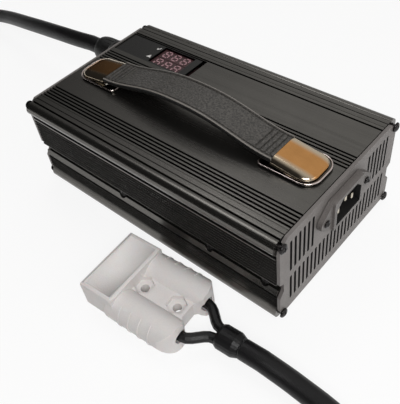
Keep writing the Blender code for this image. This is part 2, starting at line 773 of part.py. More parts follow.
def inlet_end_plate():
    """The plate at the mains end, with air slots, the inlet's opening and its two screw holes."""
    half_width = INLET_BODY_WIDTH / 2 + SEAT_GAP
    half_height = INLET_BODY_HEIGHT / 2 + SEAT_GAP
    opening = rounded_box(-half_width, half_width, INLET_Z - half_height, INLET_Z + half_height, 0.001, 2)
    holes = [
        arc(side * INLET_SCREW_SPACING / 2, INLET_Z, SCREW_RADIUS + HOLE_GAP, 0, 330, 11) for side in (-1, 1)
    ]
    spot = (PLATE_INNER + PLATE_THICKNESS / 2, 0, 0)
    outlines = [plate_outline(), opening, *holes, *slot_outlines()]
    plate = solid_outline("inlet_end_plate", outlines, PLATE_THICKNESS, spot, ALONG_X)
    return keep(plate, "plate_black", case_frame)


def grille_outlines():
    """Curved slots in rings round the fan's axis, between straight spokes."""
    pitch = FAN_BORE_RADIUS / GRILLE_RINGS
    outlines = []
    for ring in range(1, GRILLE_RINGS):
        inner = ring * pitch + GRILLE_BAR / 2
        outer = (ring + 1) * pitch - GRILLE_BAR / 2
        for spoke in range(GRILLE_SPOKES):
            first = 360 / GRILLE_SPOKES * spoke
            last = first + 360 / GRILLE_SPOKES
            near = math.degrees(GRILLE_BAR / inner)
            far = math.degrees(GRILLE_BAR / outer)
            outlines.append(
                arc(FAN_Y, FAN_Z, outer, first + far, last - far, 9)
                + arc(FAN_Y, FAN_Z, inner, last - near, first + near, 9)
            )
    return outlines


def fan_hole_places():
    """The fan's four fixing holes, as (y, z)."""
    half = FAN_HOLE_SPACING / 2
    return [(FAN_Y + a * half, FAN_Z + b * half) for a in (-1, 1) for b in (-1, 1)]


def fan_end_plate():
    """The plate at the fan end, with a ring grille, the fan's screw holes and the gland's hole."""
    holes = [arc(y, z, SCREW_RADIUS + HOLE_GAP, 0, 330, 11) for y, z in fan_hole_places()]
    holes.append(arc(GLAND_Y, GLAND_Z, GLAND_THREAD_RADIUS + SEAT_GAP, 0, 345, 23))
    spot = (-PLATE_INNER - PLATE_THICKNESS / 2, 0, 0)
    outlines = [plate_outline(), *holes, *grille_outlines()]
    plate = solid_outline("fan_end_plate", outlines, PLATE_THICKNESS, spot, ALONG_X)
    return keep(plate, "plate_black", case_frame)


def screw_mesh(name, length, radius=SCREW_RADIUS, head_radius=SCREW_HEAD_RADIUS):
    """A pan-head screw along Z, with its head above z = 0 and a cross recess."""
    high = SCREW_HEAD_HEIGHT
    profile = [
        (0, high),
        (head_radius * 0.65, high * 0.9),
        (head_radius, high * 0.35),
        (head_radius, 0),
        (radius, 0),
        (radius, -length),
        (0, -length),
    ]
    screw = turned(name, profile, (0, 0, 0), steps=SCREW_SIDES)
    for turn in (0, math.pi / 2):
        size = (CROSS_LENGTH, CROSS_WIDTH, 2 * CROSS_DEPTH)
        cut(screw, box(name + "_cross", size, (0, 0, high), (0, 0, turn)))
    return baked(screw)


def screws():
    """All the fasteners: end plates, side groove, fan, inlet and handle."""
    long_screw = screw_mesh("screw", SCREW_LENGTH)
    for end, direction in (("inlet", 1), ("fan", -1)):
        for place, side in (("front", -1), ("back", 1)):
            for level, z in (("top", BEAD_HIGH), ("bottom", BEAD_LOW)):
                name = f"end_screw_{end}_{place}_{level}"
                spot = (direction * SCREW_SEAT, side * BEAD_Y, z)
                turn = (0, direction * math.pi / 2, 0)
                copy_of(long_screw, name, spot, turn, "screw_black", case_frame)
    side_screw = screw_mesh("side_screw", SIDE_SCREW_LENGTH, SCREW_RADIUS, SIDE_HEAD_RADIUS)
    for place, side in (("front", -1), ("back", 1)):
        for i, x in enumerate(SIDE_SCREW_PLACES):
            spot = (x, side * (GROOVE_Y + SEAT_GAP), side_screw_z())
            turn = (-side * math.pi / 2, 0, 0)
            copy_of(side_screw, f"side_screw_{place}_{i + 1}", spot, turn, "screw_black", case_frame)
    fan_screw = screw_mesh("fan_screw", FAN_SCREW_LENGTH)
    for i, (y, z) in enumerate(fan_hole_places()):
        spot = (-SCREW_SEAT, y, z)
        copy_of(fan_screw, f"fan_screw_{i + 1}", spot, (0, -math.pi / 2, 0), "screw_black", case_frame)
    inlet_screw = screw_mesh("inlet_screw", INLET_SCREW_LENGTH)
    for place, side in (("front", -1), ("back", 1)):
        spot = (INLET_SCREW_SEAT, side * INLET_SCREW_SPACING / 2, INLET_Z)
        copy_of(inlet_screw, f"inlet_screw_{place}", spot, (0, math.pi / 2, 0), "screw_black", case_frame)
    reach = BASE_TOP - CEILING_Z + SEAT_GAP
    handle_screw = screw_mesh("handle_screw", reach, HANDLE_SCREW_RADIUS, SCREW_HEAD_RADIUS + SEAT_GAP)
    for name, side in (("left", -1), ("right", 1)):
        spot = (side * handle_screw_x(), HANDLE_Y, CEILING_Z - SEAT_GAP)
        copy_of(handle_screw, f"handle_screw_{name}", spot, (math.pi, 0, 0), "screw_black", case_frame)


def strap_height(x):
    """The top of the strap above its end, at a place along it: a flat-crowned arch."""
    share = min(abs(x) / STRAP_HALF_LENGTH, 1)
    return STRAP_RISE * (1 + math.cos(math.pi * share**STRAP_FLATNESS)) / 2


def strap_top(steps=20):
    """The strap's top from -X to +X, with a few cross ridges near each end."""
    ridge_zone = STRAP_RIDGES * STRAP_RIDGE_PITCH
    reach = STRAP_HALF_LENGTH - ridge_zone
    smooth = [-reach + 2 * reach * i / steps for i in range(steps + 1)]
    middle = [(x, CAP_INNER_Z + strap_height(x)) for x in smooth]
    ridges = []
    for i in range(STRAP_RIDGES):
        x = reach + i * STRAP_RIDGE_PITCH
        for share, proud in ((0.15, 0), (0.3, 1), (0.7, 1), (0.85, 0)):
            place = x + share * STRAP_RIDGE_PITCH
            ridges.append((place, CAP_INNER_Z + strap_height(place) - STRAP_RIDGE_HEIGHT * (1 - proud)))
    ridges.append((STRAP_HALF_LENGTH, CAP_INNER_Z - STRAP_RIDGE_HEIGHT))
    return mirrored(ridges) + middle + ridges


def cap_line(x):
    """The height of the cap's top at a distance from the case's middle."""
    return CAP_INNER_Z - CAP_SLOPE * (abs(x) - CAP_START)


def handle_strap():
    """The moulded strap: an arched bar with a thin tongue at each end, held under the caps."""
    tongue_end = STRAP_HALF_LENGTH + TONGUE_LENGTH
    neck = STRAP_HALF_LENGTH - STRAP_THICKNESS
    tongue = [
        (STRAP_HALF_LENGTH, cap_line(STRAP_HALF_LENGTH) - TONGUE_DROP),
        (tongue_end, cap_line(tongue_end) - TONGUE_DROP),
        (tongue_end, cap_line(tongue_end) - TONGUE_DROP - TONGUE_THICKNESS),
        (STRAP_HALF_LENGTH, cap_line(STRAP_HALF_LENGTH) - TONGUE_DROP - TONGUE_THICKNESS),
        (neck, CAP_INNER_Z + strap_height(neck) - STRAP_THICKNESS),
    ]
    steps = 18
    under = [neck - 2 * neck * i / steps for i in range(1, steps)]
    below = [(x, CAP_INNER_Z + strap_height(x) - STRAP_THICKNESS) for x in under]
    outline = strap_top() + tongue + below + mirrored(tongue)
    spot = (0, HANDLE_Y, 0)
    strap = solid_outline("handle_strap", [outline], STRAP_WIDTH, spot, ALONG_Y)
    return keep(strap, "strap_leather", case_frame)


def plan_outline(start, end, half_width, inner_corner, outer_corner):
    """A plate seen from above: small corners towards the strap, large ones towards the end."""
    return (
        arc(start + inner_corner, inner_corner - half_width, inner_corner, 180, 270, 3)
        + arc(end - outer_corner, outer_corner - half_width, outer_corner, 270, 360, 6)
        + arc(end - outer_corner, half_width - outer_corner, outer_corner, 0, 90, 6)
        + arc(start + inner_corner, half_width - inner_corner, inner_corner, 90, 180, 3)
    )


def on_side(points, side):
    return [(side * x, y) for x, y in points]


def handle_cap(name, side):
    """A polished cap: a sloping plate that turns down at its outer end, with rounded corners."""
    end = CAP_START + CAP_LENGTH
    bend = CAP_CORNER / 2
    foot = BASE_TOP + SEAT_GAP
    top = [(CAP_START + (CAP_LENGTH - bend) * i / 5, 0) for i in range(6)]
    top = [(x, cap_line(x)) for x, _ in top]
    fall = cap_line(end - bend) - foot
    shoulder = [
        (end - bend * (1 - math.sin(a)), foot + fall * math.cos(a))
        for a in [math.radians(15 * i) for i in range(1, 7)]
    ]
    under_end = end - CAP_THICKNESS
    under = [
        (under_end, foot),
        (under_end - CAP_THICKNESS / 2, cap_line(end - bend) - CAP_THICKNESS),
        (CAP_START, cap_line(CAP_START) - CAP_THICKNESS),
    ]
    section = on_side(top + shoulder + under, side)
    half_width = STRAP_WIDTH / 2 + CAP_OVERHANG
    cap = solid_outline(name, [section], 2 * half_width, (0, HANDLE_Y, 0), ALONG_Y)
    plan = on_side(plan_outline(CAP_START - CAP_LENGTH, end, half_width, CAP_THICKNESS, CAP_CORNER), side)
    spot = (0, HANDLE_Y, CAP_INNER_Z)
    trim = solid_outline(name + "_plan", [plan], 4 * STRAP_END_RISE, spot)
    boolean(cap, trim, "INTERSECT", case_frame)
    return keep(cap, "polished_cap", case_frame)


def handle_base(name, side):
    """The thin bright base under a cap, with a wedge that carries the strap's tongue."""
    half_width = STRAP_WIDTH / 2 + CAP_OVERHANG + BASE_MARGIN
    start = CAP_START - BASE_REACH_IN
    end = CAP_START + CAP_LENGTH + BASE_REACH_OUT
    plan = on_side(plan_outline(start, end, half_width, BASE_MARGIN, BASE_CORNER), side)
    spot = (0, HANDLE_Y, BASE_FOOT + BASE_THICKNESS / 2)
    base = solid_outline(name, [plan], BASE_THICKNESS, spot)
    bevel(base, BASE_THICKNESS * 0.35, 2)
    rest = TONGUE_DROP + TONGUE_THICKNESS + SEAT_GAP
    wedge_end = CAP_START + (CAP_INNER_Z - rest - BASE_TOP) / CAP_SLOPE
    wedge_end = min(wedge_end, STRAP_HALF_LENGTH + TONGUE_LENGTH)
    section = [
        (CAP_START, BASE_TOP - BASE_THICKNESS / 2),
        (wedge_end, BASE_TOP - BASE_THICKNESS / 2),
        (wedge_end, cap_line(wedge_end) - rest),
        (CAP_START, cap_line(CAP_START) - rest),
    ]
    width = STRAP_WIDTH - 2 * WEDGE_MARGIN
    wedge = solid_outline(name + "_wedge", [on_side(section, side)], width, (0, HANDLE_Y, 0), ALONG_Y)
    join(base, wedge, case_frame)
    spot = (side * handle_screw_x(), HANDLE_Y, BASE_FOOT)
    depth = 2 * (BASE_THICKNESS + 2 * SEAT_GAP)
    hole = rod(name + "_hole", HANDLE_SCREW_RADIUS + HOLE_GAP, depth, spot, sides=16)
    cut(base, hole, case_frame)
    return keep(base, "polished_cap", case_frame)


def display():
    """The overlay film, the digit modules behind its window and the small board that carries them."""
    left, right = display_span()
    middle = (DISPLAY_FRONT + DISPLAY_BACK) / 2
    size = (
        right - left - 2 * SEAT_GAP,
        DISPLAY_BACK - DISPLAY_FRONT - 2 * SEAT_GAP,
        OVERLAY_THICKNESS,
    )
    spot = ((left + right) / 2, middle, DECK_Z - OVERLAY_SUNK - OVERLAY_THICKNESS / 2)
    keep(box("display_overlay", size, spot), "overlay_film", case_frame)
    near, far = window_span()
    digits_top = CEILING_Z
    digits_x = (near + far) / 2
    for name, side in (("upper", 1), ("lower", -1)):
        spot = (digits_x, middle + side * (DIGITS_WIDTH + DIGITS_GAP) / 2, digits_top - DIGITS_HEIGHT / 2)
        size = (DIGITS_LENGTH, DIGITS_WIDTH, DIGITS_HEIGHT)
        keep(box(f"display_digits_{name}", size, spot), "digit_grey", case_frame)
    size = (
        far - near + 2 * DISPLAY_BOARD_MARGIN,
        DISPLAY_BACK - DISPLAY_FRONT,
        DISPLAY_BOARD_THICKNESS,
    )
    board_top = digits_top - DIGITS_HEIGHT - SEAT_GAP
    spot = (digits_x, middle, board_top - DISPLAY_BOARD_THICKNESS / 2)
    board = box("display_board", size, spot)
    wide = DISPLAY_BOARD_MARGIN * 0.6
    post = (wide, wide, CEILING_Z - SEAT_GAP - board_top + DISPLAY_BOARD_THICKNESS / 2)
    for a in (-1, 1):
        for b in (-1, 1):
            corner = (
                digits_x + a * (size[0] / 2 - wide),
                middle + b * (size[1] / 2 - wide),
                CEILING_Z - SEAT_GAP - post[2] / 2,
            )
            join(board, box("display_post", post, corner), case_frame)
    return keep(board, "board_green", case_frame)


def inlet_flange_outline():
    """The inlet's flange: a block in the middle and two ears that taper to round tips."""
    half = INLET_BLOCK_HEIGHT / 2
    tip = INLET_SCREW_SPACING / 2
    points = [(INLET_BLOCK_WIDTH / 2, -half)]
    points += arc(tip, 0, INLET_EAR_RADIUS, -60, 60, 6)
    points += [(INLET_BLOCK_WIDTH / 2, half)]
    return points + mirrored(points)


def cavity_outline():
    """The socket's outline, with its two upper corners cut off."""
    half_width = INLET_CAVITY_WIDTH / 2
    half_height = INLET_CAVITY_HEIGHT / 2
    chamfer = INLET_CAVITY_CHAMFER
    return [
        (-half_width, -half_height),
        (half_width, -half_height),
        (half_width, half_height - chamfer),
        (half_width - chamfer, half_height),
        (-half_width + chamfer, half_height),
        (-half_width, half_height - chamfer),
    ]


def inlet_pin_places():
    """The three pins, by name, as (y, z)."""
    return {
        "earth": (0, INLET_Z + INLET_PIN_RISE),
        "line": (-INLET_PIN_SPACING, INLET_Z - INLET_PIN_RISE),
        "neutral": (INLET_PIN_SPACING, INLET_Z - INLET_PIN_RISE),
    }


def inlet_housing():
    """The mains inlet's moulding: flange, raised block, body behind the plate, and its socket."""
    spot = (INLET_SEAT + INLET_FLANGE_THICKNESS / 2, 0, INLET_Z)
    housing = solid_outline(
        "inlet_housing", [inlet_flange_outline()], INLET_FLANGE_THICKNESS, spot, ALONG_X
    )
    half_width = INLET_BLOCK_WIDTH / 2
    half_height = INLET_BLOCK_HEIGHT / 2
    block_depth = INLET_FACE - INLET_SEAT - INLET_FLANGE_THICKNESS / 2
    block = rounded_box(-half_width, half_width, -half_height, half_height, 0.0012, 2)
    spot = (INLET_FACE - block_depth / 2, 0, INLET_Z)
    join(housing, solid_outline("inlet_block", [block], block_depth, spot, ALONG_X), case_frame)
    depth = INLET_BODY_DEPTH + INLET_FLANGE_THICKNESS / 2
    spot = (INLET_SEAT + INLET_FLANGE_THICKNESS / 2 - depth / 2, 0, INLET_Z)
    join(housing, box("inlet_body", (depth, INLET_BODY_WIDTH, INLET_BODY_HEIGHT), spot), case_frame)
    spot = (INLET_FACE, 0, INLET_Z)
    socket = solid_outline("inlet_socket", [cavity_outline()], 2 * INLET_CAVITY_DEPTH, spot, ALONG_X)
    cut(housing, socket, case_frame)
    size = (4 * INLET_BODY_DEPTH, INLET_PIN_WIDTH + 2 * HOLE_GAP, INLET_PIN_HEIGHT + 2 * HOLE_GAP)
    for y, z in inlet_pin_places().values():
        cut(housing, box("pin_slot", size, (INLET_SEAT - INLET_BODY_DEPTH, y, z)), case_frame)
    for side in (-1, 1):
        spot = (INLET_SEAT, side * INLET_SCREW_SPACING / 2, INLET_Z)
        hole = rod("ear_hole", SCREW_RADIUS + HOLE_GAP, 4 * INLET_FLANGE_THICKNESS, spot, "X", 12)
        cut(housing, hole, case_frame)
    return keep(housing, "black_plastic", case_frame)


def inlet_pins():
    """Three flat pins with bevelled tips, through the socket's floor to their tails."""
    floor_x = INLET_FACE - INLET_CAVITY_DEPTH
    tail_x = INLET_SEAT - INLET_BODY_DEPTH - INLET_PIN_TAIL
    length = floor_x + INLET_PIN_REACH - tail_x
    for name, (y, z) in inlet_pin_places().items():
        spot = (tail_x + length / 2, y, z)
        pin = box(f"inlet_pin_{name}", (length, INLET_PIN_WIDTH, INLET_PIN_HEIGHT), spot)
        bevel(pin, INLET_PIN_WIDTH * 0.3)
        keep(pin, "nickel_pin", case_frame)


def gland():
    """The cable gland: a hex body through the end plate, and a dome nut round the lead."""
    length = GLAND_HEX_THICKNESS
    spot = (GLAND_SEAT - length / 2, GLAND_Y, GLAND_Z)
    body = rod("gland_body", GLAND_HEX_RADIUS, length, spot, "X", 6)
    inner = PLATE_THICKNESS + GLAND_THREAD_LENGTH
    spot = (GLAND_SEAT - length / 2 + (inner + length / 2) / 2, GLAND_Y, GLAND_Z)
    join(body, rod("gland_thread", GLAND_THREAD_RADIUS, inner + length / 2, spot, "X", 24), case_frame)
    keep(body, "black_plastic", case_frame)
    high = GLAND_NUT_LENGTH
    radius = GLAND_NUT_RADIUS
    taper = radius - GLAND_MOUTH_RADIUS
    dome = [
        (GLAND_MOUTH_RADIUS + taper * math.cos(a), high * 0.5 + high * 0.5 * math.sin(a))
        for a in [math.radians(18 * i) for i in range(5, -1, -1)]
    ]
    profile = [(0, high), *dome, (radius, radius * 0.1), (radius * 0.94, 0), (0, 0)]
    nut = turned("gland_dome_nut", profile, (NUT_SEAT, GLAND_Y, GLAND_Z), (0, -math.pi / 2, 0), 24)
    return keep(nut, "black_plastic", case_frame)


def fan_frame():
    """The fan's square frame: a round duct, four corner holes, and a spider that carries the bearing."""
    middle = FAN_BACK + FAN_DEPTH / 2
    half = FAN_SIZE / 2
    outline = rounded_box(-half, half, -half, half, half * 0.12, 3)
    duct = arc(0, 0, FAN_BORE_RADIUS, 0, 350, 35)
    holes = [
        arc(y - FAN_Y, z - FAN_Z, SCREW_RADIUS + HOLE_GAP, 0, 330, 11) for y, z in fan_hole_places()
    ]
    spot = (middle, FAN_Y, FAN_Z)
    frame = solid_outline("fan_frame", [outline, duct, *holes], FAN_DEPTH, spot, ALONG_X)
    spider_x = FAN_FRONT - FAN_SPIDER_DEPTH / 2
    spot = (spider_x, FAN_Y, FAN_Z)
    hub = rod("bearing_hub", FAN_HUB_RADIUS, FAN_SPIDER_DEPTH, spot, "X", 32)
    join(frame, hub, case_frame)
    reach = FAN_BORE_RADIUS + (half - FAN_BORE_RADIUS) / 2
    for turn in (0, math.pi / 2):
        size = (FAN_SPIDER_DEPTH, 2 * reach, FAN_SPIDER_WIDTH)
        join(frame, box("spider_arm", size, spot, (turn, 0, 0)), case_frame)
    bore = rod("bearing_bore", FAN_SHAFT_RADIUS + RUNNING_GAP, 4 * FAN_SPIDER_DEPTH, spot, "X", 32)
    cut(frame, bore, case_frame)
    return keep(frame, "black_plastic", case_frame)


def fan_rotor():
    """The fan's rotor, with its origin on its axis: a hub, pitched blades and a short shaft."""
    hub_far = FAN_FRONT - FAN_SPIDER_DEPTH - FAN_SPIDER_GAP
    hub_x = hub_far - FAN_HUB_DEPTH / 2
    tip = FAN_BORE_RADIUS - FAN_TIP_GAP
    rotor = rod("fan_rotor", FAN_HUB_RADIUS, FAN_HUB_DEPTH, (hub_x, FAN_Y, FAN_Z), "X", 32)
    length = tip - FAN_HUB_RADIUS * 0.6
    for i in range(FAN_BLADES):
        angle = 2 * math.pi * i / FAN_BLADES
        radius = FAN_HUB_RADIUS * 0.6 + length / 2
        spot = (hub_x, FAN_Y - radius * math.sin(angle), FAN_Z + radius * math.cos(angle))
        blade = box("fan_blade", (FAN_BLADE_CHORD, FAN_BLADE_THICKNESS, length), spot)
        swing = Quaternion((1, 0, 0), angle)
        blade.rotation_euler = (swing @ Quaternion((0, 0, 1), FAN_BLADE_PITCH)).to_euler()
        join(rotor, blade, case_frame)
    reach = FAN_SPIDER_GAP + FAN_SHAFT_LENGTH + FAN_HUB_DEPTH / 2
    spot = (hub_x + reach / 2, FAN_Y, FAN_Z)
    join(rotor, rod("fan_shaft", FAN_SHAFT_RADIUS, reach, spot, "X", 32), case_frame)
    trim = rod("fan_tip_circle", tip, 2 * FAN_DEPTH, (hub_x, FAN_Y, FAN_Z), "X", 48)
    boolean(rotor, trim, "INTERSECT", case_frame)
    return keep(rotor, "black_plastic", case_frame)


def main_board():
    """The circuit board, held by the lower shell's rails."""
    start = -SHELL_END + BOARD_LEFT
    end = SHELL_END - BOARD_RIGHT
    size = (end - start, 2 * (FLANGE_INNER - SEAT_GAP), BOARD_THICKNESS)
    spot = ((start + end) / 2, 0, BOARD_TOP - BOARD_THICKNESS / 2)
    return keep(box("main_board", size, spot), "board_green", case_frame)


def heatsinks():
    """Two finned bars along the sides, with the fins towards the case's walls."""
    wall = FLANGE_INNER - RAIL_DEPTH - SINK_MARGIN
    for name, side in (("front", -1), ("back", 1)):
        inner = wall - SINK_FIN_LENGTH - SINK_THICKNESS
        points = [(inner, PARTS_FOOT), (inner + SINK_THICKNESS, PARTS_FOOT)]
        gap = SINK_HEIGHT / (2 * SINK_FINS)
        for i in range(SINK_FINS):
            z = PARTS_FOOT + gap * (2 * i + 1)
            points += [(inner + SINK_THICKNESS, z), (wall, z)]
            points += [(wall, z + gap), (inner + SINK_THICKNESS, z + gap)]
        points = points[:-1] + [(inner, PARTS_FOOT + SINK_HEIGHT)]
        sink = solid_outline(
            f"heatsink_{name}", [on_side(points, side)], SINK_LENGTH, (0, 0, 0), ALONG_X
        )
        keep(sink, "plain_aluminium", case_frame)


def wound_parts():
    """The main transformer and the choke that stand on the board."""
    spot = (CORE_LENGTH * 0.15, 0, PARTS_FOOT + CORE_HEIGHT / 2)
    transformer = box("transformer", (CORE_LENGTH, CORE_WIDTH, CORE_HEIGHT), spot)
    winding = rod("transformer_winding", WINDING_RADIUS, CORE_HEIGHT * 0.7, spot, "Z", 32)
    join(transformer, winding, case_frame)
    keep(transformer, "ferrite_grey", case_frame)
    bm = bmesh.new()
    ring = 20
    circle = bmesh.ops.create_circle(bm, segments=10, radius=CHOKE_TUBE)["verts"]
    bmesh.ops.rotate(bm, verts=circle, cent=(0, 0, 0), matrix=Matrix.Rotation(math.pi / 2, 3, "X"))
    bmesh.ops.translate(bm, verts=circle, vec=(CHOKE_RADIUS, 0, 0))
    bmesh.ops.spin(
        bm,
        geom=bm.verts[:] + bm.edges[:],
        cent=(0, 0, 0),
        axis=(0, 0, 1),
        angle=2 * math.pi,
        steps=ring,
        use_merge=True,
    )
    bmesh.ops.remove_doubles(bm, verts=bm.verts, dist=0.000005)
    bmesh.ops.recalc_face_normals(bm, faces=bm.faces)
    spot = (CORE_LENGTH * 0.15 - CORE_LENGTH / 2 - CHOKE_RADIUS - 2 * CHOKE_TUBE, 0, PARTS_FOOT + CHOKE_TUBE)
    choke = from_bmesh("pfc_choke", bm, spot)
    return keep(choke, "copper_winding", case_frame)


def capacitors():
    """Two large capacitors near the inlet and two small ones near the fan."""
    bulk_x = SHELL_END - BOARD_RIGHT - BULK_RADIUS - 2 * SEAT_GAP
    for i, side in enumerate((-1, 1)):
        spot = (bulk_x, side * (BULK_RADIUS + SINK_MARGIN), PARTS_FOOT + BULK_HEIGHT / 2)
        can = rod(f"bulk_capacitor_{i + 1}", BULK_RADIUS, BULK_HEIGHT, spot, "Z", 24)
        bevel(can, BULK_RADIUS * 0.1)
        keep(can, "capacitor_sleeve", case_frame)
        out_x = -SHELL_END + BOARD_LEFT + 2 * OUTPUT_RADIUS
        spot = (out_x, side * (OUTPUT_RADIUS + SINK_MARGIN), PARTS_FOOT + OUTPUT_HEIGHT / 2)
        can = rod(f"output_capacitor_{i + 1}", OUTPUT_RADIUS, OUTPUT_HEIGHT, spot, "Z", 16)
        bevel(can, OUTPUT_RADIUS * 0.1)
        keep(can, "capacitor_sleeve", case_frame)


def barrel_section():
    """The connector's section: two barrels joined by a thinner web, as (y, z)."""
    y = CONNECTOR_WIDTH / 2 - BARREL_RADIUS
    low = BARREL_RADIUS - WEB_THICKNESS / 2
    high = BARREL_RADIUS + WEB_THICKNESS / 2
    meet = math.degrees(math.asin(WEB_THICKNESS / 2 / BARREL_RADIUS))
    half = arc(y, BARREL_RADIUS, BARREL_RADIUS, -180 + meet, 180 - meet, 22)
    half[0] = (half[0][0], low)
    half[-1] = (half[-1][0], high)
    return half + mirrored(half)


def connector_plan(front):
    """The connector seen from above, with large round corners at the cable end."""
    half_length = CONNECTOR_LENGTH / 2
    half_width = CONNECTOR_WIDTH / 2
    middle = BARREL_RADIUS * 0.45
    cheek = half_width - REAR_CORNER
    inner = middle + REAR_CORNER * 0.4
    half = (
        [(front, half_width)]
        + arc(half_length - REAR_CORNER, cheek, REAR_CORNER, 90, 0, 7)
        + [(half_length, inner), (half_length - REAR_CORNER * 0.4, middle)]
    )
    return half + [(x, -y) for x, y in reversed(half)]


def tongue_plan(side):
    """One front tongue seen from above, with its two front corners cut off."""
    front = -CONNECTOR_LENGTH / 2
    outer = side * (TONGUE_GAP / 2 + TONGUE_WIDTH)
    inner = side * TONGUE_GAP / 2
    cut_off = side * TONGUE_GAP / 2
    back = front + HOOD_SETBACK + HOOD_LENGTH
    return [
        (back, inner),
        (front + abs(cut_off), inner),
        (front, inner + cut_off),
        (front, outer - cut_off),
        (front + abs(cut_off), outer),
        (back, outer),
    ]


def port_y():
    """How far the two ports lie from the connector's middle."""
    return TONGUE_GAP / 2 + TONGUE_WIDTH / 2


def port_foot():
    return BARREL_RADIUS - PORT_HEIGHT / 2


def bolt_places():
    first = -CONNECTOR_LENGTH / 2 + BOLT_FIRST
    return (first, first + BOLT_SPACING)


def connector_housing():
    """The grey two-pole housing: two barrels, a hood, tongues with ports, and bolt holes in hex seats."""
    front = -CONNECTOR_LENGTH / 2
    body_front = front + HOOD_SETBACK + HOOD_LENGTH * 0.8
    body_length = CONNECTOR_LENGTH / 2 - body_front
    spot = (body_front + body_length / 2, 0, 0)
    housing = solid_outline("connector_housing", [barrel_section()], body_length, spot, ALONG_X)
    plan = solid_outline(
        "connector_plan", [connector_plan(front)], 4 * CONNECTOR_HEIGHT, (0, 0, CONNECTOR_HEIGHT)
    )
    boolean(housing, plan, "INTERSECT", connector_frame)
    for side in (-1, 1):
        spot = (0, 0, TONGUE_HEIGHT / 2)
        tongue = solid_outline("connector_tongue", [tongue_plan(side)], TONGUE_HEIGHT, spot)
        join(housing, tongue, connector_frame)
    hood_front = front + HOOD_SETBACK
    half = HOOD_WIDTH / 2
    hood = rounded_box(-half, half, HOOD_FOOT, CONNECTOR_HEIGHT, 0.0012, 2)
    spot = (hood_front + HOOD_LENGTH / 2, 0, 0)
    join(housing, solid_outline("connector_hood", [hood], HOOD_LENGTH, spot, ALONG_X), connector_frame)
    for side in (-1, 1):
        size = (2 * PORT_DEPTH, PORT_WIDTH, PORT_HEIGHT)
        port = box("mating_port", size, (front, side * port_y(), port_foot() + PORT_HEIGHT / 2))
        cut(housing, port, connector_frame)
        length = CONNECTOR_LENGTH - PORT_DEPTH + SEAT_GAP
        spot = (front + PORT_DEPTH - SEAT_GAP + length / 2 + 0.0005, side * port_y(), BARREL_RADIUS)
        cut(housing, rod("core_bore", CORE_BORE_RADIUS, length + 0.001, spot, "X", 20), connector_frame)
        for i in range(GRIP_LINES):
            x = bolt_places()[0] + i * GRIP_PITCH
            size = (GRIP_WIDTH, 2 * GRIP_DEPTH, CONNECTOR_HEIGHT)
            line = box("grip_line", size, (x, side * CONNECTOR_WIDTH / 2, CONNECTOR_HEIGHT / 2))
            cut(housing, line, connector_frame)
    web_top = BARREL_RADIUS + WEB_THICKNESS / 2
    for x in bolt_places():
        hole = rod("bolt_hole", BOLT_RADIUS, 4 * WEB_THICKNESS, (x, 0, BARREL_RADIUS), "Z", 20)
        cut(housing, hole, connector_frame)
        seat = rod("bolt_hex", BOLT_HEX_RADIUS, 2 * BOLT_HEX_DEPTH, (x, 0, web_top), "Z", 6)
        cut(housing, seat, connector_frame)
    return keep(housing, "grey_plastic", connector_frame)


def contacts():
    """The two silver contacts: a flat blade in the port, and a barrel that holds the core."""
    front = -CONNECTOR_LENGTH / 2
    barrel_start = front + PORT_DEPTH - SEAT_GAP
    barrel_end = CONNECTOR_LENGTH / 2 - CORE_HELD_LENGTH - SEAT_GAP
    for name, side in (("positive", 1), ("negative", -1)):
        y = side * port_y()
        spot = (barrel_start + (barrel_end - barrel_start) / 2, y, BARREL_RADIUS)
        radius = CORE_BORE_RADIUS - SEAT_GAP
        contact = rod(f"contact_{name}", radius, barrel_end - barrel_start, spot, "X", 16)
        blade_end = barrel_start + SEAT_GAP / 2
        blade_start = blade_end - CONTACT_LENGTH
        size = (CONTACT_LENGTH, CONTACT_WIDTH, CONTACT_THICKNESS)
        spot = ((blade_start + blade_end) / 2, y, port_foot() + CONTACT_RISE)
        join(contact, box("contact_blade", size, spot), connector_frame)
        keep(contact, "silver_contact", connector_frame)


def cores_and_boot():
    """The two cores between the housing and the sheath, and the boot where they part."""
    rear = CONNECTOR_LENGTH / 2
    start = rear - CORE_HELD_LENGTH
    boot_start = rear + CORE_FREE_LENGTH
    boot_end = boot_start + BOOT_LENGTH
    for name, side in (("positive", 1), ("negative", -1)):
        y = side * port_y()
        near = side * (CORE_RADIUS + SEAT_GAP)
        points = [(start, y, BARREL_RADIUS)]
        for i in range(CORE_STEPS + 1):
            share = i / CORE_STEPS
            blend = (1 - math.cos(math.pi * share)) / 2
            x = rear + SEAT_GAP + (CORE_FREE_LENGTH * CORE_CURVE - SEAT_GAP) * share
            points.append((x, y + (near - y) * blend, BARREL_RADIUS))
        points.append((boot_start - SEAT_GAP, near, BARREL_RADIUS))
        core = tube(f"core_{name}", points, CORE_RADIUS)
        keep(core, "cable_black", connector_frame)
    radius = CORD_RADIUS + BOOT_GROWTH
    high = boot_end - boot_start
    profile = [
        (0, high),
        (CORD_RADIUS, high),
        (radius, high * 0.75),
        (radius, high * 0.12),
        (radius * 0.9, 0),
        (0, 0),
    ]
    boot = turned(
        "lead_split_boot", profile, (boot_start, 0, BARREL_RADIUS), (0, math.pi / 2, 0), 24
    )
    return keep(boot, "cable_black", connector_frame)


def tube(name, points, radius, resolution=3):
    """A round tube along points: a POLY spline with a bevel and filled caps."""
    curve = bpy.data.curves.new(name, "CURVE")
    curve.dimensions = "3D"
    curve.bevel_depth = radius
    curve.bevel_resolution = resolution
    curve.use_fill_caps = True
    spline = curve.splines.new("POLY")
    spline.points.add(len(points) - 1)
    for point, place in zip(spline.points, points):
        point.co = (*place, 1)
    return bpy.data.objects.new(name, curve)


def cord_start():
    """The middle of the lead where it leaves the gland's dome nut."""
    return Vector((CASE_X + GLAND_MOUTH - SEAT_GAP, GLAND_Y, GLAND_Z))


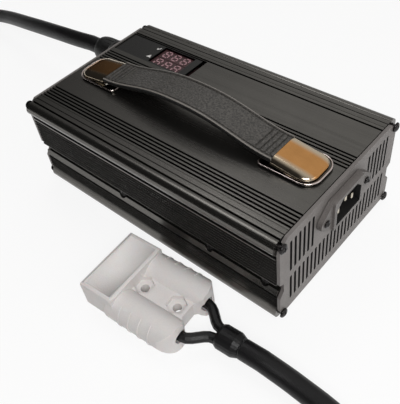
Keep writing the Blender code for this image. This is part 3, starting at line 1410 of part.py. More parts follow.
def cord_end():
    """The middle of the lead where it meets the boot."""
    reach = CONNECTOR_LENGTH / 2 + CORE_FREE_LENGTH + BOOT_LENGTH + SEAT_GAP
    x = CONNECTOR_X + reach * math.cos(CONNECTOR_TURN)
    y = CONNECTOR_Y + reach * math.sin(CONNECTOR_TURN)
    return Vector((x, y, BARREL_RADIUS))


# The lead's own route between its two ends: out to the left, down to the floor, round outside
# the front left corner and back to the connector.
CORD_ROUTE = (
    (-0.1537, 0.0276, 0.0525),
    (-0.1807, 0.0287, 0.0490),
    (-0.2377, 0.0349, 0.0380),
    (-0.3000, 0.0430, 0.0235),
    (-0.3480, 0.0420, 0.0115),
    (-0.3850, 0.0240, 0.0064),
    (-0.3980, -0.0080, 0.0062),
    (-0.3830, -0.0400, 0.0062),
    (-0.3480, -0.0620, 0.0062),
    (-0.2850, -0.0850, 0.0062),
    (-0.2100, -0.1170, 0.0062),
    (-0.1400, -0.1570, 0.0062),
    (-0.0700, -0.1950, 0.0062),
    (0.0000, -0.2160, 0.0062),
    (0.0700, -0.2200, 0.0062),
    (0.1350, -0.2080, 0.0062),
    (0.1880, -0.1780, 0.0062),
    (0.2080, -0.1380, 0.0062),
    (0.1930, -0.1040, 0.0062),
    (0.1620, -0.0890, 0.0064),
    (0.1330, -0.0866, 0.0076),
)


def smooth_route(points, step):
    """Points a step apart on a smooth curve through the given ones."""
    padded = [2 * points[0] - points[1], *points, 2 * points[-1] - points[-2]]
    fine = [points[0]]
    for before, start, end, after in zip(padded, padded[1:], padded[2:], padded[3:]):
        pieces = max(2, round((end - start).length / (step / 12)))
        knots = [0]
        for a, b in ((before, start), (start, end), (end, after)):
            knots.append(knots[-1] + math.sqrt((b - a).length))
        for i in range(1, pieces + 1):
            t = knots[1] + (knots[2] - knots[1]) * i / pieces
            fine.append(curve_point((before, start, end, after), knots, t))
    total = sum((b - a).length for a, b in zip(fine, fine[1:]))
    count = max(2, round(total / step))
    spaced = [fine[0]]
    walked = 0
    for a, b in zip(fine, fine[1:]):
        walked += (b - a).length
        if walked >= total * len(spaced) / count and len(spaced) < count:
            spaced.append(b)
    return spaced + [fine[-1]]


def curve_point(four, knots, t):
    """A point of a centripetal curve through four points, between the middle two."""
    level = list(four)
    for width in (1, 2, 3):
        nearer = []
        for i in range(4 - width):
            low = knots[i]
            high = knots[i + width]
            if width == 3:
                low = knots[1]
                high = knots[2]
            elif width == 2:
                low = knots[i]
                high = knots[i + 2]
            share = (t - low) / (high - low)
            nearer.append(level[i] * (1 - share) + level[i + 1] * share)
        level = nearer
    return level[0]


def dc_cord():
    """The battery lead, as one tube from the gland to the boot."""
    start = cord_start()
    end = cord_end()
    first = start + Vector((-CORD_STRAIGHT, 0, 0))
    last = end + CORD_STRAIGHT * Vector((math.cos(CONNECTOR_TURN), math.sin(CONNECTOR_TURN), 0))
    route = [first, *(Vector(p) for p in CORD_ROUTE), last]
    cord = tube("dc_cord", [start, *smooth_route(route, CORD_STEP), end], CORD_RADIUS)
    return keep(cord, "cable_black")


def build():
    start_scene()
    top_shell()
    bottom_shell()
    inlet_end_plate()
    fan_end_plate()
    screws()
    handle_strap()
    for name, side in (("left", -1), ("right", 1)):
        handle_cap(f"handle_cap_{name}", side)
        handle_base(f"handle_base_{name}", side)
    display()
    inlet_housing()
    inlet_pins()
    gland()
    fan_frame()
    fan_rotor()
    main_board()
    heatsinks()
    wound_parts()
    capacitors()
    connector_housing()
    contacts()
    cores_and_boot()
    dc_cord()


build()
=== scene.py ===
# %% [markdown]
# # A battery charger with a carrying strap
#
# This lesson dresses a measured model of a battery charger. The solids are already settled, and
# here each of them gets its fine shape and its finish. The charger's case is extruded black
# aluminium, with a mains inlet at the right, a fan and a battery lead at the left, and a flat
# grey two-pole connector on the lead's far end.
#
# We start by loading the solids.

# %% Load the frame
import math

import bmesh
import bpy
from mathutils import Euler, Matrix, Quaternion, Vector


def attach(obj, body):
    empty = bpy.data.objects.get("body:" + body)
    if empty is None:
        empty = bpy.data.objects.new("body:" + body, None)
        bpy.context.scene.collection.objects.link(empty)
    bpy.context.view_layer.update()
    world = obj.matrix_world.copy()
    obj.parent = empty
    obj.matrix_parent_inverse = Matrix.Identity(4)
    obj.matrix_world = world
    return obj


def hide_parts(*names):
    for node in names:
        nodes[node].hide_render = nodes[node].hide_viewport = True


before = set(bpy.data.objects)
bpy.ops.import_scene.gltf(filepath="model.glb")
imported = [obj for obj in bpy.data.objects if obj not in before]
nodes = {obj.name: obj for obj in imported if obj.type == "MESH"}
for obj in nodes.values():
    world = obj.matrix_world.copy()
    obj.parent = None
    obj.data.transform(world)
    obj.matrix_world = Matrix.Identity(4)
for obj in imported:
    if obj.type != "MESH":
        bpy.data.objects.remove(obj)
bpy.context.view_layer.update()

# %% [markdown]
# ## The camera
#
# The photograph was taken from above the right front corner, and the camera was tilted a little
# to one side. A camera in Blender looks down its own -Z axis, so we aim it with a quaternion
# and then roll it about the line of sight. The lens is given in millimetres on a 36 mm sensor.

# %% Camera
CASE_X = -0.00165  # where the middle of the case lies
VIEW_AZIMUTH = math.radians(47.89)
VIEW_ELEVATION = math.radians(46.59)
VIEW_ROLL = math.radians(9.10)
EYE = Vector((0.2045 + CASE_X, -0.1954, 0.2834))

back = Vector(
    (
        math.sin(VIEW_AZIMUTH) * math.cos(VIEW_ELEVATION),
        -math.cos(VIEW_AZIMUTH) * math.cos(VIEW_ELEVATION),
        math.sin(VIEW_ELEVATION),
    )
)
lens = bpy.data.cameras.new("photo_camera")
lens.sensor_width = 36
lens.lens = 50.9
lens.clip_start = 0.01
camera = bpy.data.objects.new("photo_camera", lens)
bpy.context.scene.collection.objects.link(camera)
camera.rotation_mode = "QUATERNION"
camera.rotation_quaternion = (-back).to_track_quat("-Z", "Y") @ Quaternion((0, 0, 1), -VIEW_ROLL)
camera.location = EYE
bpy.context.scene.camera = camera
print("camera at", [round(v, 4) for v in camera.location])

# %% [markdown]
# ## Small helpers
#
# Most pieces here are made in one of three ways: a flat outline with thickness, a profile turned
# about an axis, or a box. A 2D curve fills an outline with its holes for us, so it is the quickest
# way to a plate with slots. Real edges are never perfectly sharp: a narrow Bevel modifier lets
# each one catch a thin line of light, which is most of what makes metal look real.

# %% Helpers
FLAT = (0, 0, 0)
ALONG_X = (math.pi / 2, 0, math.pi / 2)  # an outline's x and y become Y and Z
ALONG_Y = (math.pi / 2, 0, 0)  # an outline's x and y become X and Z
stage = bpy.context.scene.collection


def add(name, mesh, place=(0, 0, 0), turn=FLAT):
    obj = bpy.data.objects.new(name, mesh)
    obj.location = place
    obj.rotation_euler = turn
    stage.objects.link(obj)
    return obj


def from_bmesh(name, bm, place=(0, 0, 0), turn=FLAT, angle=35):
    bmesh.ops.recalc_face_normals(bm, faces=bm.faces)
    mesh = bpy.data.meshes.new(name)
    bm.to_mesh(mesh)
    bm.free()
    mesh.shade_smooth()
    mesh.set_sharp_from_angle(angle=math.radians(angle))
    return add(name, mesh, place, turn)


def block(name, size, place, turn=FLAT):
    bm = bmesh.new()
    bmesh.ops.create_cube(bm, size=1)
    bmesh.ops.scale(bm, vec=size, verts=bm.verts)
    return from_bmesh(name, bm, place, turn)


def rod(name, radius, length, place, axis="Z", sides=48):
    bm = bmesh.new()
    bmesh.ops.create_cone(bm, cap_ends=True, segments=sides, radius1=radius, radius2=radius, depth=length)
    return from_bmesh(name, bm, place, {"X": (0, math.pi / 2, 0), "Y": (-math.pi / 2, 0, 0), "Z": FLAT}[axis])


def plate(name, outlines, thickness, place=(0, 0, 0), turn=FLAT):
    """A flat outline with its holes, filled by a 2D curve and given a thickness."""
    curve = bpy.data.curves.new(name, "CURVE")
    curve.dimensions = "2D"
    curve.fill_mode = "BOTH"
    curve.extrude = thickness / 2
    for points in outlines:
        spline = curve.splines.new("POLY")
        spline.points.add(len(points) - 1)
        for point, (x, y) in zip(spline.points, points):
            point.co = (x, y, 0, 1)
        spline.use_cyclic_u = True
    guide = add(name + "_guide", curve)
    bpy.context.view_layer.update()
    mesh = bpy.data.meshes.new_from_object(guide.evaluated_get(bpy.context.evaluated_depsgraph_get()))
    bpy.data.objects.remove(guide)
    bm = bmesh.new()
    bm.from_mesh(mesh)
    bmesh.ops.remove_doubles(bm, verts=bm.verts, dist=0.000002)
    bmesh.ops.dissolve_limit(bm, angle_limit=0.01, verts=bm.verts, edges=bm.edges)
    return from_bmesh(name, bm, place, turn)


def lathe(name, profile, place=(0, 0, 0), turn=FLAT, steps=48):
    """A profile of (radius, height) points turned about its own Z axis."""
    bm = bmesh.new()
    points = [bm.verts.new((radius, 0, height)) for radius, height in profile]
    edges = [bm.edges.new(pair) for pair in zip(points, points[1:])]
    bmesh.ops.spin(
        bm, geom=points + edges, cent=(0, 0, 0), axis=(0, 0, 1), angle=2 * math.pi, steps=steps, use_merge=True
    )
    bmesh.ops.remove_doubles(bm, verts=bm.verts, dist=0.000002)
    return from_bmesh(name, bm, place, turn)


def combine(obj, other, operation="DIFFERENCE"):
    """Apply one Boolean at once, and drop the cutter."""
    modifier = obj.modifiers.new("combine", "BOOLEAN")
    modifier.operation = operation
    modifier.object = other
    return settle(obj, other)


def settle(obj, *spent):
    """Turn an object's modifiers into plain mesh."""
    bpy.context.view_layer.update()
    mesh = bpy.data.meshes.new_from_object(obj.evaluated_get(bpy.context.evaluated_depsgraph_get()))
    obj.modifiers.clear()
    obj.data = mesh
    for other in spent:
        bpy.data.objects.remove(other)
    return obj


def soften(obj, width, segments=2, angle=30):
    """Round an object's edges, and keep its flat faces looking flat."""
    edge = obj.modifiers.new("edges", "BEVEL")
    edge.width = width
    edge.segments = segments
    edge.limit_method = "ANGLE"
    edge.angle_limit = math.radians(angle)
    edge.harden_normals = True
    obj.data.shade_smooth()
    return settle(obj)


def arc(cx, cy, radius, start, end, steps):
    angles = [math.radians(start + (end - start) * i / steps) for i in range(steps + 1)]
    return [(cx + radius * math.cos(a), cy + radius * math.sin(a)) for a in angles]


def mirrored(points):
    return [(-x, y) for x, y in reversed(points)]


def round_box(left, right, foot, head, radius, steps=6):
    radius = min(radius, (right - left) / 2, (head - foot) / 2)
    return (
        arc(right - radius, foot + radius, radius, -90, 0, steps)
        + arc(right - radius, head - radius, radius, 0, 90, steps)
        + arc(left + radius, head - radius, radius, 90, 180, steps)
        + arc(left + radius, foot + radius, radius, 180, 270, steps)
    )


def dress(obj, material, slot, *replaced, body="charger"):
    """Finish a piece: its material, the body it rides on, and the solids it stands for; the slot is not used."""
    obj.data.materials.clear()
    obj.data.materials.append(material)
    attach(obj, body)
    if replaced:
        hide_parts(*replaced)
    return obj


print("helpers ready")

# %% [markdown]
# ## Shared effects
#
# Several finishes need the same few effects: a fine grain, lines drawn along the extrusion, a
# slow drift of wear, and leather cells. Each is a node group that is built once. A group only
# puts out masks and heights, and the shader itself stays in each material, where its own values
# can be set on its sockets.

# %% Node groups
def new_group(name, inputs, outputs):
    group = bpy.data.node_groups.new(name, "ShaderNodeTree")
    for label, value in inputs.items():
        kind = "NodeSocketFloat"
        socket = group.interface.new_socket(name=label, in_out="INPUT", socket_type=kind)
        socket.default_value = value
    for label in outputs:
        group.interface.new_socket(name=label, in_out="OUTPUT", socket_type="NodeSocketFloat")
    start = group.nodes.new("NodeGroupInput")
    end = group.nodes.new("NodeGroupOutput")
    place = group.nodes.new("ShaderNodeTexCoord").outputs["Object"]
    return group, start.outputs, end.inputs, place


def chain(tree, kind, settings=None, **inputs):
    """Add a node, set its options, and link or set each input that is named."""
    node = tree.nodes.new(kind)
    for key, value in (settings or {}).items():
        setattr(node, key, value)
    for key, value in inputs.items():
        socket = node.inputs[int(key[1:])] if key[0] == "_" else node.inputs[key.replace("_", " ")]
        if isinstance(value, bpy.types.NodeSocket):
            tree.links.new(value, socket)
        else:
            socket.default_value = value
    return node


def math_node(tree, operation, first, second=0.0, third=0.0):
    return chain(tree, "ShaderNodeMath", {"operation": operation}, _0=first, _1=second, _2=third).outputs[0]


def spread(tree, value, low, high, new_low=0.0, new_high=1.0):
    return chain(
        tree, "ShaderNodeMapRange", None, Value=value, From_Min=low, From_Max=high, To_Min=new_low, To_Max=new_high
    ).outputs["Result"]


def grain_group():
    """Fine sand-like grain, as on anodised or moulded surfaces."""
    group, inputs, outputs, place = new_group("fine grain", {"Scale": 4000.0, "Contrast": 1.0}, ["Mask", "Height"])
    noise = chain(group, "ShaderNodeTexNoise", None, Vector=place, Scale=inputs["Scale"], Detail=3.0)
    mask = spread(group, noise.outputs["Fac"], 0.35, 0.65)
    group.links.new(mask, outputs["Mask"])
    group.links.new(math_node(group, "MULTIPLY", mask, inputs["Contrast"]), outputs["Height"])
    return group


def drawn_group():
    """Long faint lines, as a die leaves along an extrusion or a brush along a sheet."""
    group, inputs, outputs, place = new_group("drawn lines", {"Length": 6.0, "Fineness": 1500.0}, ["Mask", "Height"])
    parts = chain(group, "ShaderNodeSeparateXYZ", None, _0=place)
    x = math_node(group, "MULTIPLY", parts.outputs["X"], inputs["Fineness"])
    y = math_node(group, "MULTIPLY", parts.outputs["Y"], inputs["Fineness"])
    z = math_node(group, "MULTIPLY", parts.outputs["Z"], inputs["Length"])
    stretched = chain(group, "ShaderNodeCombineXYZ", None, X=x, Y=y, Z=z)
    noise = chain(group, "ShaderNodeTexNoise", None, Vector=stretched.outputs[0], Scale=1.0, Detail=2.0)
    mask = spread(group, noise.outputs["Fac"], 0.3, 0.7)
    group.links.new(mask, outputs["Mask"])
    group.links.new(mask, outputs["Height"])
    return group


def wear_group():
    """A slow drift of light and dark, with a few sharper smudges."""
    group, inputs, outputs, place = new_group("handling wear", {"Scale": 35.0, "Amount": 1.0}, ["Mask"])
    slow = chain(group, "ShaderNodeTexNoise", None, Vector=place, Scale=inputs["Scale"], Detail=4.0, Roughness=0.65)
    mask = spread(group, slow.outputs["Fac"], 0.4, 0.7)
    group.links.new(math_node(group, "MULTIPLY", mask, inputs["Amount"]), outputs["Mask"])
    return group


def leather_group():
    """Pebbled leather: cells with soft creases between them."""
    group, inputs, outputs, place = new_group("leather cells", {"Scale": 900.0, "Crease": 0.35}, ["Mask", "Height"])
    warp = chain(group, "ShaderNodeTexNoise", None, Vector=place, Scale=math_node(group, "MULTIPLY", inputs["Scale"], 0.5))
    bent = chain(group, "ShaderNodeVectorMath", {"operation": "SCALE"}, _0=warp.outputs["Color"], Scale=0.0012)
    moved = chain(group, "ShaderNodeVectorMath", {"operation": "ADD"}, _0=place, _1=bent.outputs[0])
    cells = chain(
        group, "ShaderNodeTexVoronoi", {"feature": "DISTANCE_TO_EDGE"}, Vector=moved.outputs[0], Scale=inputs["Scale"]
    )
    height = spread(group, cells.outputs["Distance"], 0.0, inputs["Crease"])
    group.links.new(height, outputs["Height"])
    group.links.new(spread(group, cells.outputs["Distance"], 0.0, 0.12), outputs["Mask"])
    return group


GRAIN = grain_group()
DRAWN = drawn_group()
WEAR = wear_group()
LEATHER = leather_group()
print("groups:", [group.name for group in bpy.data.node_groups])

# %% [markdown]
# ## Finishes
#
# One small function makes a Principled material, and lets a mask move its colour between two
# tones and its roughness between two values. The tones are written as the eye sees them, from 0
# to 1, and turned into the linear light that Blender works in.

# %% Finish helper
def tone(*values):
    return (*[v / 12.92 if v <= 0.04045 else ((v + 0.055) / 1.055) ** 2.4 for v in values], 1.0)


def new_finish(name, metallic=0.0, **sockets):
    """A material, its node tree and its Principled shader, with plain values set on the shader."""
    material = bpy.data.materials.new(name)
    material.use_nodes = True
    tree = material.node_tree
    shader = tree.nodes["Principled BSDF"]
    shader.inputs["Metallic"].default_value = metallic
    for key, value in sockets.items():
        shader.inputs[key.replace("_", " ")].default_value = value
    return material, tree, shader


def effect(tree, group, **values):
    node = tree.nodes.new("ShaderNodeGroup")
    node.node_tree = group
    for key, value in values.items():
        node.inputs[key].default_value = value
    return node.outputs


def vary(tree, shader, mask, light, dark, smooth, rough):
    """Let a mask move the colour and the roughness between two ends."""
    mix = chain(tree, "ShaderNodeMix", {"data_type": "RGBA"}, _0=mask, _6=dark, _7=light)
    tree.links.new(mix.outputs[2], shader.inputs["Base Color"])
    tree.links.new(spread(tree, mask, 0.0, 1.0, rough, smooth), shader.inputs["Roughness"])


def emboss(tree, shader, height, depth, strength=1.0):
    bump = chain(tree, "ShaderNodeBump", None, Height=height, Distance=depth, Strength=strength)
    tree.links.new(bump.outputs["Normal"], shader.inputs["Normal"])


def blend_masks(tree, first, second, share=0.5):
    mix = chain(tree, "ShaderNodeMix", {"data_type": "FLOAT"}, _0=share, _2=first, _3=second)
    return mix.outputs[0]


def simple_finish(name, light, dark, smooth, rough, grain=2500.0, depth=0.00003, metallic=0.0, **sockets):
    """Grain and wear over two tones: the base of most finishes here."""
    material, tree, shader = new_finish(name, metallic, **sockets)
    fine = effect(tree, GRAIN, Scale=grain)
    drift = effect(tree, WEAR, Scale=30.0)
    vary(tree, shader, blend_masks(tree, fine["Mask"], drift["Mask"]), light, dark, smooth, rough)
    emboss(tree, shader, fine["Height"], depth)
    return material


print("finish helper ready")

# %% [markdown]
# ## The battery lead
#
# The lead leaves the gland at the left end, sags to the table, and runs round outside the front
# left corner of the picture before it comes back to the connector. It is stiff rubber cable,
# 12 mm thick, so its bends stay wide. The same points as in the solid model make one
# smooth curve, and a curve object with a round bevel is the natural way to model a cable.

# %% The lead's route
CORD_RADIUS = 0.0060
CORD_START = Vector((-0.12665, 0.0280, 0.0540))
CORD_END = Vector((0.09972, -0.08839, 0.0102))
CONNECTOR_TURN = math.radians(4.2)
CORD_ROUTE = (
    (-0.1537, 0.0276, 0.0525),
    (-0.1807, 0.0287, 0.0490),
    (-0.2377, 0.0349, 0.0380),
    (-0.3000, 0.0430, 0.0235),
    (-0.3480, 0.0420, 0.0115),
    (-0.3850, 0.0240, 0.0064),
    (-0.3980, -0.0080, 0.0062),
    (-0.3830, -0.0400, 0.0062),
    (-0.3480, -0.0620, 0.0062),
    (-0.2850, -0.0850, 0.0062),
    (-0.2100, -0.1170, 0.0062),
    (-0.1400, -0.1570, 0.0062),
    (-0.0700, -0.1950, 0.0062),
    (0.0000, -0.2160, 0.0062),
    (0.0700, -0.2200, 0.0062),
    (0.1350, -0.2080, 0.0062),
    (0.1880, -0.1780, 0.0062),
    (0.2080, -0.1380, 0.0062),
    (0.1930, -0.1040, 0.0062),
    (0.1620, -0.0890, 0.0064),
    (0.1330, -0.0866, 0.0076),
)


def between(a, b, low, high, t):
    share = (t - low) / (high - low)
    return a * (1 - share) + b * share


def on_curve(four, knots, t):
    """A point of a centripetal curve through four points, between the middle two."""
    first = [between(four[i], four[i + 1], knots[i], knots[i + 1], t) for i in range(3)]
    second = [between(first[i], first[i + 1], knots[i], knots[i + 2], t) for i in range(2)]
    return between(second[0], second[1], knots[1], knots[2], t)


def smooth_route(points, step):
    """Evenly spaced points on a smooth curve through the given ones."""
    padded = [2 * points[0] - points[1], *points, 2 * points[-1] - points[-2]]
    fine = [points[0]]
    for before, start, end, after in zip(padded, padded[1:], padded[2:], padded[3:]):
        pieces = max(2, round((end - start).length / (step / 12)))
        knots = [0]
        for a, b in ((before, start), (start, end), (end, after)):
            knots.append(knots[-1] + math.sqrt((b - a).length))
        for i in range(1, pieces + 1):
            fine.append(on_curve((before, start, end, after), knots, knots[1] + (knots[2] - knots[1]) * i / pieces))
    total = sum((b - a).length for a, b in zip(fine, fine[1:]))
    count = round(total / step)
    spaced = [fine[0]]
    walked = 0
    for a, b in zip(fine, fine[1:]):
        walked += (b - a).length
        if walked >= total * len(spaced) / count and len(spaced) < count:
            spaced.append(b)
    return spaced + [fine[-1]], total


def cable(name, points, radius, sides=6):
    curve = bpy.data.curves.new(name, "CURVE")
    curve.dimensions = "3D"
    curve.bevel_depth = radius
    curve.bevel_resolution = sides
    curve.use_fill_caps = True
    spline = curve.splines.new("POLY")
    spline.points.add(len(points) - 1)
    for point, place in zip(spline.points, points):
        point.co = (*place, 1)
    return add(name, curve)


straight = 0.0120
rear = Vector((math.cos(CONNECTOR_TURN), math.sin(CONNECTOR_TURN), 0))
route = [
    CORD_START + Vector((-straight, 0, 0)),
    *(Vector(point) for point in CORD_ROUTE),
    CORD_END + straight * rear,
]
lead_points, lead_length = smooth_route(route, 0.006)
lead_length += 2 * straight
lead = cable("battery_lead", [CORD_START, *lead_points, CORD_END], CORD_RADIUS)
print("lead:", round(lead_length, 3), "m,", len(lead_points), "points")

# %% [markdown]
# Rubber sheath is near black with a slight cold tint, and it has a soft, wide highlight. Two
# grains do it: a fine one for the surface, and a slow one for the dull patches that handling
# leaves.

# %% The lead's finish
rubber = simple_finish(
    "sheath rubber", tone(0.075, 0.07, 0.076), tone(0.045, 0.043, 0.046), 0.34, 0.46, grain=1800.0, depth=0.00004
)
rubber.node_tree.nodes["Principled BSDF"].inputs["Specular IOR Level"].default_value = 0.3
dress(lead, rubber, "cable", "dc_cord")
print("lead dressed")

# %% [markdown]
# ## Table and light
#
# The photograph has a white background, so the table is white to the camera, while the world is a
# dim dome that brightens towards the back, and the light itself stays at a plain level. A long soft
# lamp over the table draws the bright lines along the case's rolls, a second one at the right lights
# the end plate, and the front stays darker, as it does in the photograph.

# %% Table and light
floor_bm = bmesh.new()
bmesh.ops.create_grid(floor_bm, x_segments=1, y_segments=1, size=60)
table = from_bmesh("table", floor_bm)
table_finish = bpy.data.materials.new("white table")
table_finish.use_nodes = True
tree = table_finish.node_tree
tree.nodes.clear()
path = tree.nodes.new("ShaderNodeLightPath")
paint = chain(tree, "ShaderNodeBsdfDiffuse", None, Color=(0.88, 0.88, 0.88, 1))
glow = chain(tree, "ShaderNodeEmission", None, Color=(1, 1, 1, 1), Strength=1.0)
seen = math_node(tree, "MAXIMUM", path.outputs["Is Camera Ray"], path.outputs["Is Glossy Ray"])
seen = math_node(tree, "MAXIMUM", seen, path.outputs["Is Transmission Ray"])
share = math_node(tree, "MULTIPLY", seen, 0.84)
mixed = chain(tree, "ShaderNodeMixShader", None, _0=share, _1=paint.outputs[0], _2=glow.outputs[0])
out = chain(tree, "ShaderNodeOutputMaterial", None, Surface=mixed.outputs[0])
table.data.materials.append(table_finish)

world = bpy.data.worlds.new("studio")
bpy.context.scene.world = world
world.use_nodes = True
tree = world.node_tree
tree.nodes.clear()
direction = chain(tree, "ShaderNodeSeparateXYZ", None, _0=tree.nodes.new("ShaderNodeTexCoord").outputs["Generated"])
lean = math_node(tree, "MULTIPLY", direction.outputs["Y"], 0.70)
lean = math_node(tree, "MULTIPLY_ADD", direction.outputs["Z"], 0.50, lean)
lean = math_node(tree, "MULTIPLY_ADD", direction.outputs["X"], 0.25, lean)
rise = chain(
    tree, "ShaderNodeMapRange", {"interpolation_type": "SMOOTHSTEP"},
    Value=lean, From_Min=0.20, From_Max=0.78, To_Min=0.02, To_Max=0.62,
)
room = chain(tree, "ShaderNodeBackground", None, Color=(1.0, 0.99, 0.97, 1), Strength=rise.outputs["Result"])
chain(tree, "ShaderNodeOutputWorld", None, Surface=room.outputs[0])


def softbox(name, place, target, width, height, power, colour=(1, 1, 1)):
    lamp = bpy.data.lights.new(name, "AREA")
    lamp.shape = "RECTANGLE"
    lamp.size = width
    lamp.size_y = height
    lamp.energy = power
    lamp.color = colour
    obj = add(name, lamp, place)
    obj.rotation_euler = (Vector(target) - Vector(place)).to_track_quat("-Z", "Y").to_euler()
    return obj


softbox("overhead_softbox", (-0.42, 0.20, 1.0), (0, 0, 0.05), 0.5, 0.35, 1.5)
softbox("key_softbox", (0.80, -0.70, 1.15), (0, 0, 0.03), 0.8, 0.8, 16.5)
softbox("right_softbox", (1.1, 0.10, 0.60), (0.1, 0, 0.03), 0.7, 0.6, 1.5)
bpy.context.scene.view_settings.view_transform = "Standard"

# %% [markdown]
# ## The extruded case
#
# The case is two aluminium extrusions that meet in a groove along each side. An extrusion is one
# section pushed through a die, so the section is all we need: a round roll at each corner, fine
# ribs on the side panels, and grooves along the deck. We write the right half of each section
# as (y, z) points, mirror it, and give the outline the case's length.

# %% The section's sizes
LENGTH = 0.2006
HALF = 0.060
SIDE_Y = HALF - 0.0025
VALLEY_Y = SIDE_Y - 0.0008
DECK_Z = 0.0664
ROLL = 0.0045
ROLL_Y = HALF - ROLL
ROLL_Z = 0.0615
FOOT = 0.0042
FOOT_Y = 0.0548
SCREW_Y = 0.0550
SCREW_HIGH = 0.0622
SCREW_LOW = 0.0050
CEILING_Z = DECK_Z - 0.0022
BELLY_Z = 0.0032
FLOOR_Z = BELLY_Z + 0.0022
GROOVE_TOP = 0.0326
GROOVE_Y = SIDE_Y - 0.0034
GROOVE_FLOOR = 0.0241
SLOPE = 0.0044
LIP_INNER = GROOVE_Y - 0.0020
FLANGE_OUTER = LIP_INNER - 0.0003
FLANGE_INNER = FLANGE_OUTER - 0.0020
PANEL_BACK = 0.0426
PANEL_FRONT = 0.0208
wall = SIDE_Y - 0.0025


def ribs(first, pitch, count, flat=0.00005):
    """Pointed ribs up a side panel, with a valley before and after each."""
    points = []
    for i in range(count):
        z = first + i * pitch
        points += [(VALLEY_Y, z - pitch / 2), (SIDE_Y, z - flat), (SIDE_Y, z + flat)]
    return points + [(VALLEY_Y, first + (count - 0.5) * pitch)]


def groove(middle, width, depth):
    return [
        (middle + width / 2, DECK_Z),
        (middle + width * 0.45, DECK_Z - depth),
        (middle - width * 0.45, DECK_Z - depth),
        (middle - width / 2, DECK_Z),
    ]


places = [(0.0436, 0.0014, 0.0015)]
for i in range(5):
    places.append((-0.0345 - 0.0025 * i, 0.0013, 0.0015))
    places.append((0.0164 - 0.0025 * i, 0.0013, 0.0015))
for side in (1, -1):
    places.append((side * 0.0501, 0.0006, 0.0006))
    places.append((side * 0.0466, 0.0003, 0.0003))
deck = []
for middle, width, depth in sorted(places, reverse=True):
    deck += groove(middle, width, depth)
print("deck grooves:", len(places))

# %% Upper shell
ledge = 0.0538
deck_edge = 0.0532
roll_start = -math.degrees(math.acos((VALLEY_Y - ROLL_Y) / ROLL))
roll_end = math.degrees(math.acos((deck_edge + 0.00095 - ROLL_Y) / ROLL))
upper_side = (
    [(LIP_INNER, GROOVE_FLOOR + 0.0003), (GROOVE_Y, GROOVE_FLOOR + 0.0003)]
    + [(GROOVE_Y, GROOVE_TOP - 0.0019), (SIDE_Y, 0.0312), (SIDE_Y, 0.0315)]
    + ribs(0.0338, 0.0024, 8)
    + [(SIDE_Y, ledge - 0.0010), (SIDE_Y, ledge), (VALLEY_Y, ledge + 0.0004)]
    + arc(ROLL_Y, ROLL_Z, ROLL, roll_start, roll_end, 40)
    + [(deck_edge + 0.00085, DECK_Z - 0.0020), (deck_edge, DECK_Z - 0.0020), (deck_edge, DECK_Z)]
)
upper_inside = [
    (0.0500, CEILING_Z),
    (0.0500, 0.0622),
    (wall, 0.0572),
    (wall, GROOVE_TOP + 0.0020 + wall - LIP_INNER),
    (LIP_INNER, GROOVE_TOP + 0.0020),
]
outline = upper_side + deck + mirrored(upper_side) + [(-y, z) for y, z in reversed(upper_inside)] + upper_inside
ports = [arc(side * SCREW_Y, SCREW_HIGH, 0.0019, 0, 345, 23) for side in (1, -1)]
upper = plate("upper_shell", [outline, *ports], LENGTH, (CASE_X, 0, 0), ALONG_X)
PANEL_LEFT = CASE_X - LENGTH / 2 + 0.0010
PANEL_RIGHT = CASE_X - 0.0289
SLOT_LEFT = CASE_X - 0.0330
WINDOW_RIGHT = CASE_X - 0.0385
WINDOW_LEFT = CASE_X - 0.0672
PANEL_Y = (PANEL_FRONT + PANEL_BACK) / 2


def deck_opening(left, right, front, rear, deep):
    size = (right - left, rear - front, 2 * deep)
    combine(upper, block("cut", size, ((left + right) / 2, (front + rear) / 2, DECK_Z)))


deck_opening(PANEL_LEFT, PANEL_RIGHT, PANEL_FRONT, PANEL_BACK, 0.0015)
deck_opening(WINDOW_LEFT, WINDOW_RIGHT, PANEL_FRONT + 0.0018, PANEL_BACK - 0.0010, 0.0050)
deck_opening(SLOT_LEFT, PANEL_RIGHT - 0.0003, PANEL_FRONT + 0.0003, PANEL_BACK - 0.0003, 0.0050)
SIDE_SCREWS = (-0.0215, 0.0520, 0.0915)
SIDE_SCREW_Z = GROOVE_FLOOR + 0.0023
for x in SIDE_SCREWS:
    combine(upper, rod("cut", 0.00175, 0.2, (CASE_X + x, 0, SIDE_SCREW_Z), "Y", 24))
soften(upper, 0.00010)
print("upper shell faces:", len(upper.data.polygons))

# %% Lower shell
belly_angle = -180 - math.degrees(math.asin((BELLY_Z - FOOT) / FOOT))
lower_side = (
    [(FLANGE_OUTER, GROOVE_FLOOR + 0.0069), (FLANGE_OUTER, GROOVE_FLOOR), (0.0553, GROOVE_FLOOR)]
    + [(0.0562, 0.0254), (SIDE_Y, 0.0220)]
    + ribs(0.0107, 0.00203, 5)[::-1]
    + [(SIDE_Y, 0.00835)]
    + arc(FOOT_Y, FOOT, FOOT, 25, belly_angle, 36)
)
rail = FLANGE_INNER - 0.0025
lower_inside = [
    (FLANGE_INNER, FLOOR_Z), (FLANGE_INNER, 0.0086), (rail, 0.0086), (rail, 0.0098), (FLANGE_INNER, 0.0098),
    (FLANGE_INNER, 0.0120), (rail, 0.0120), (rail, 0.0132), (FLANGE_INNER, 0.0132),
    (FLANGE_INNER, GROOVE_FLOOR + 0.0069),
]
outline = lower_side + mirrored(lower_side) + [(-y, z) for y, z in reversed(lower_inside)] + lower_inside
ports = [arc(side * SCREW_Y, SCREW_LOW, 0.0019, 0, 345, 23) for side in (1, -1)]
hollow = [(FLANGE_OUTER, 0.0103), (wall, 0.0103), (wall, 0.0169), (FLANGE_OUTER, 0.0201)]
hollows = [[(side * y, z) for y, z in hollow] for side in (1, -1)]
lower = plate("lower_shell", [outline, *ports, *hollows], LENGTH, (CASE_X, 0, 0), ALONG_X)
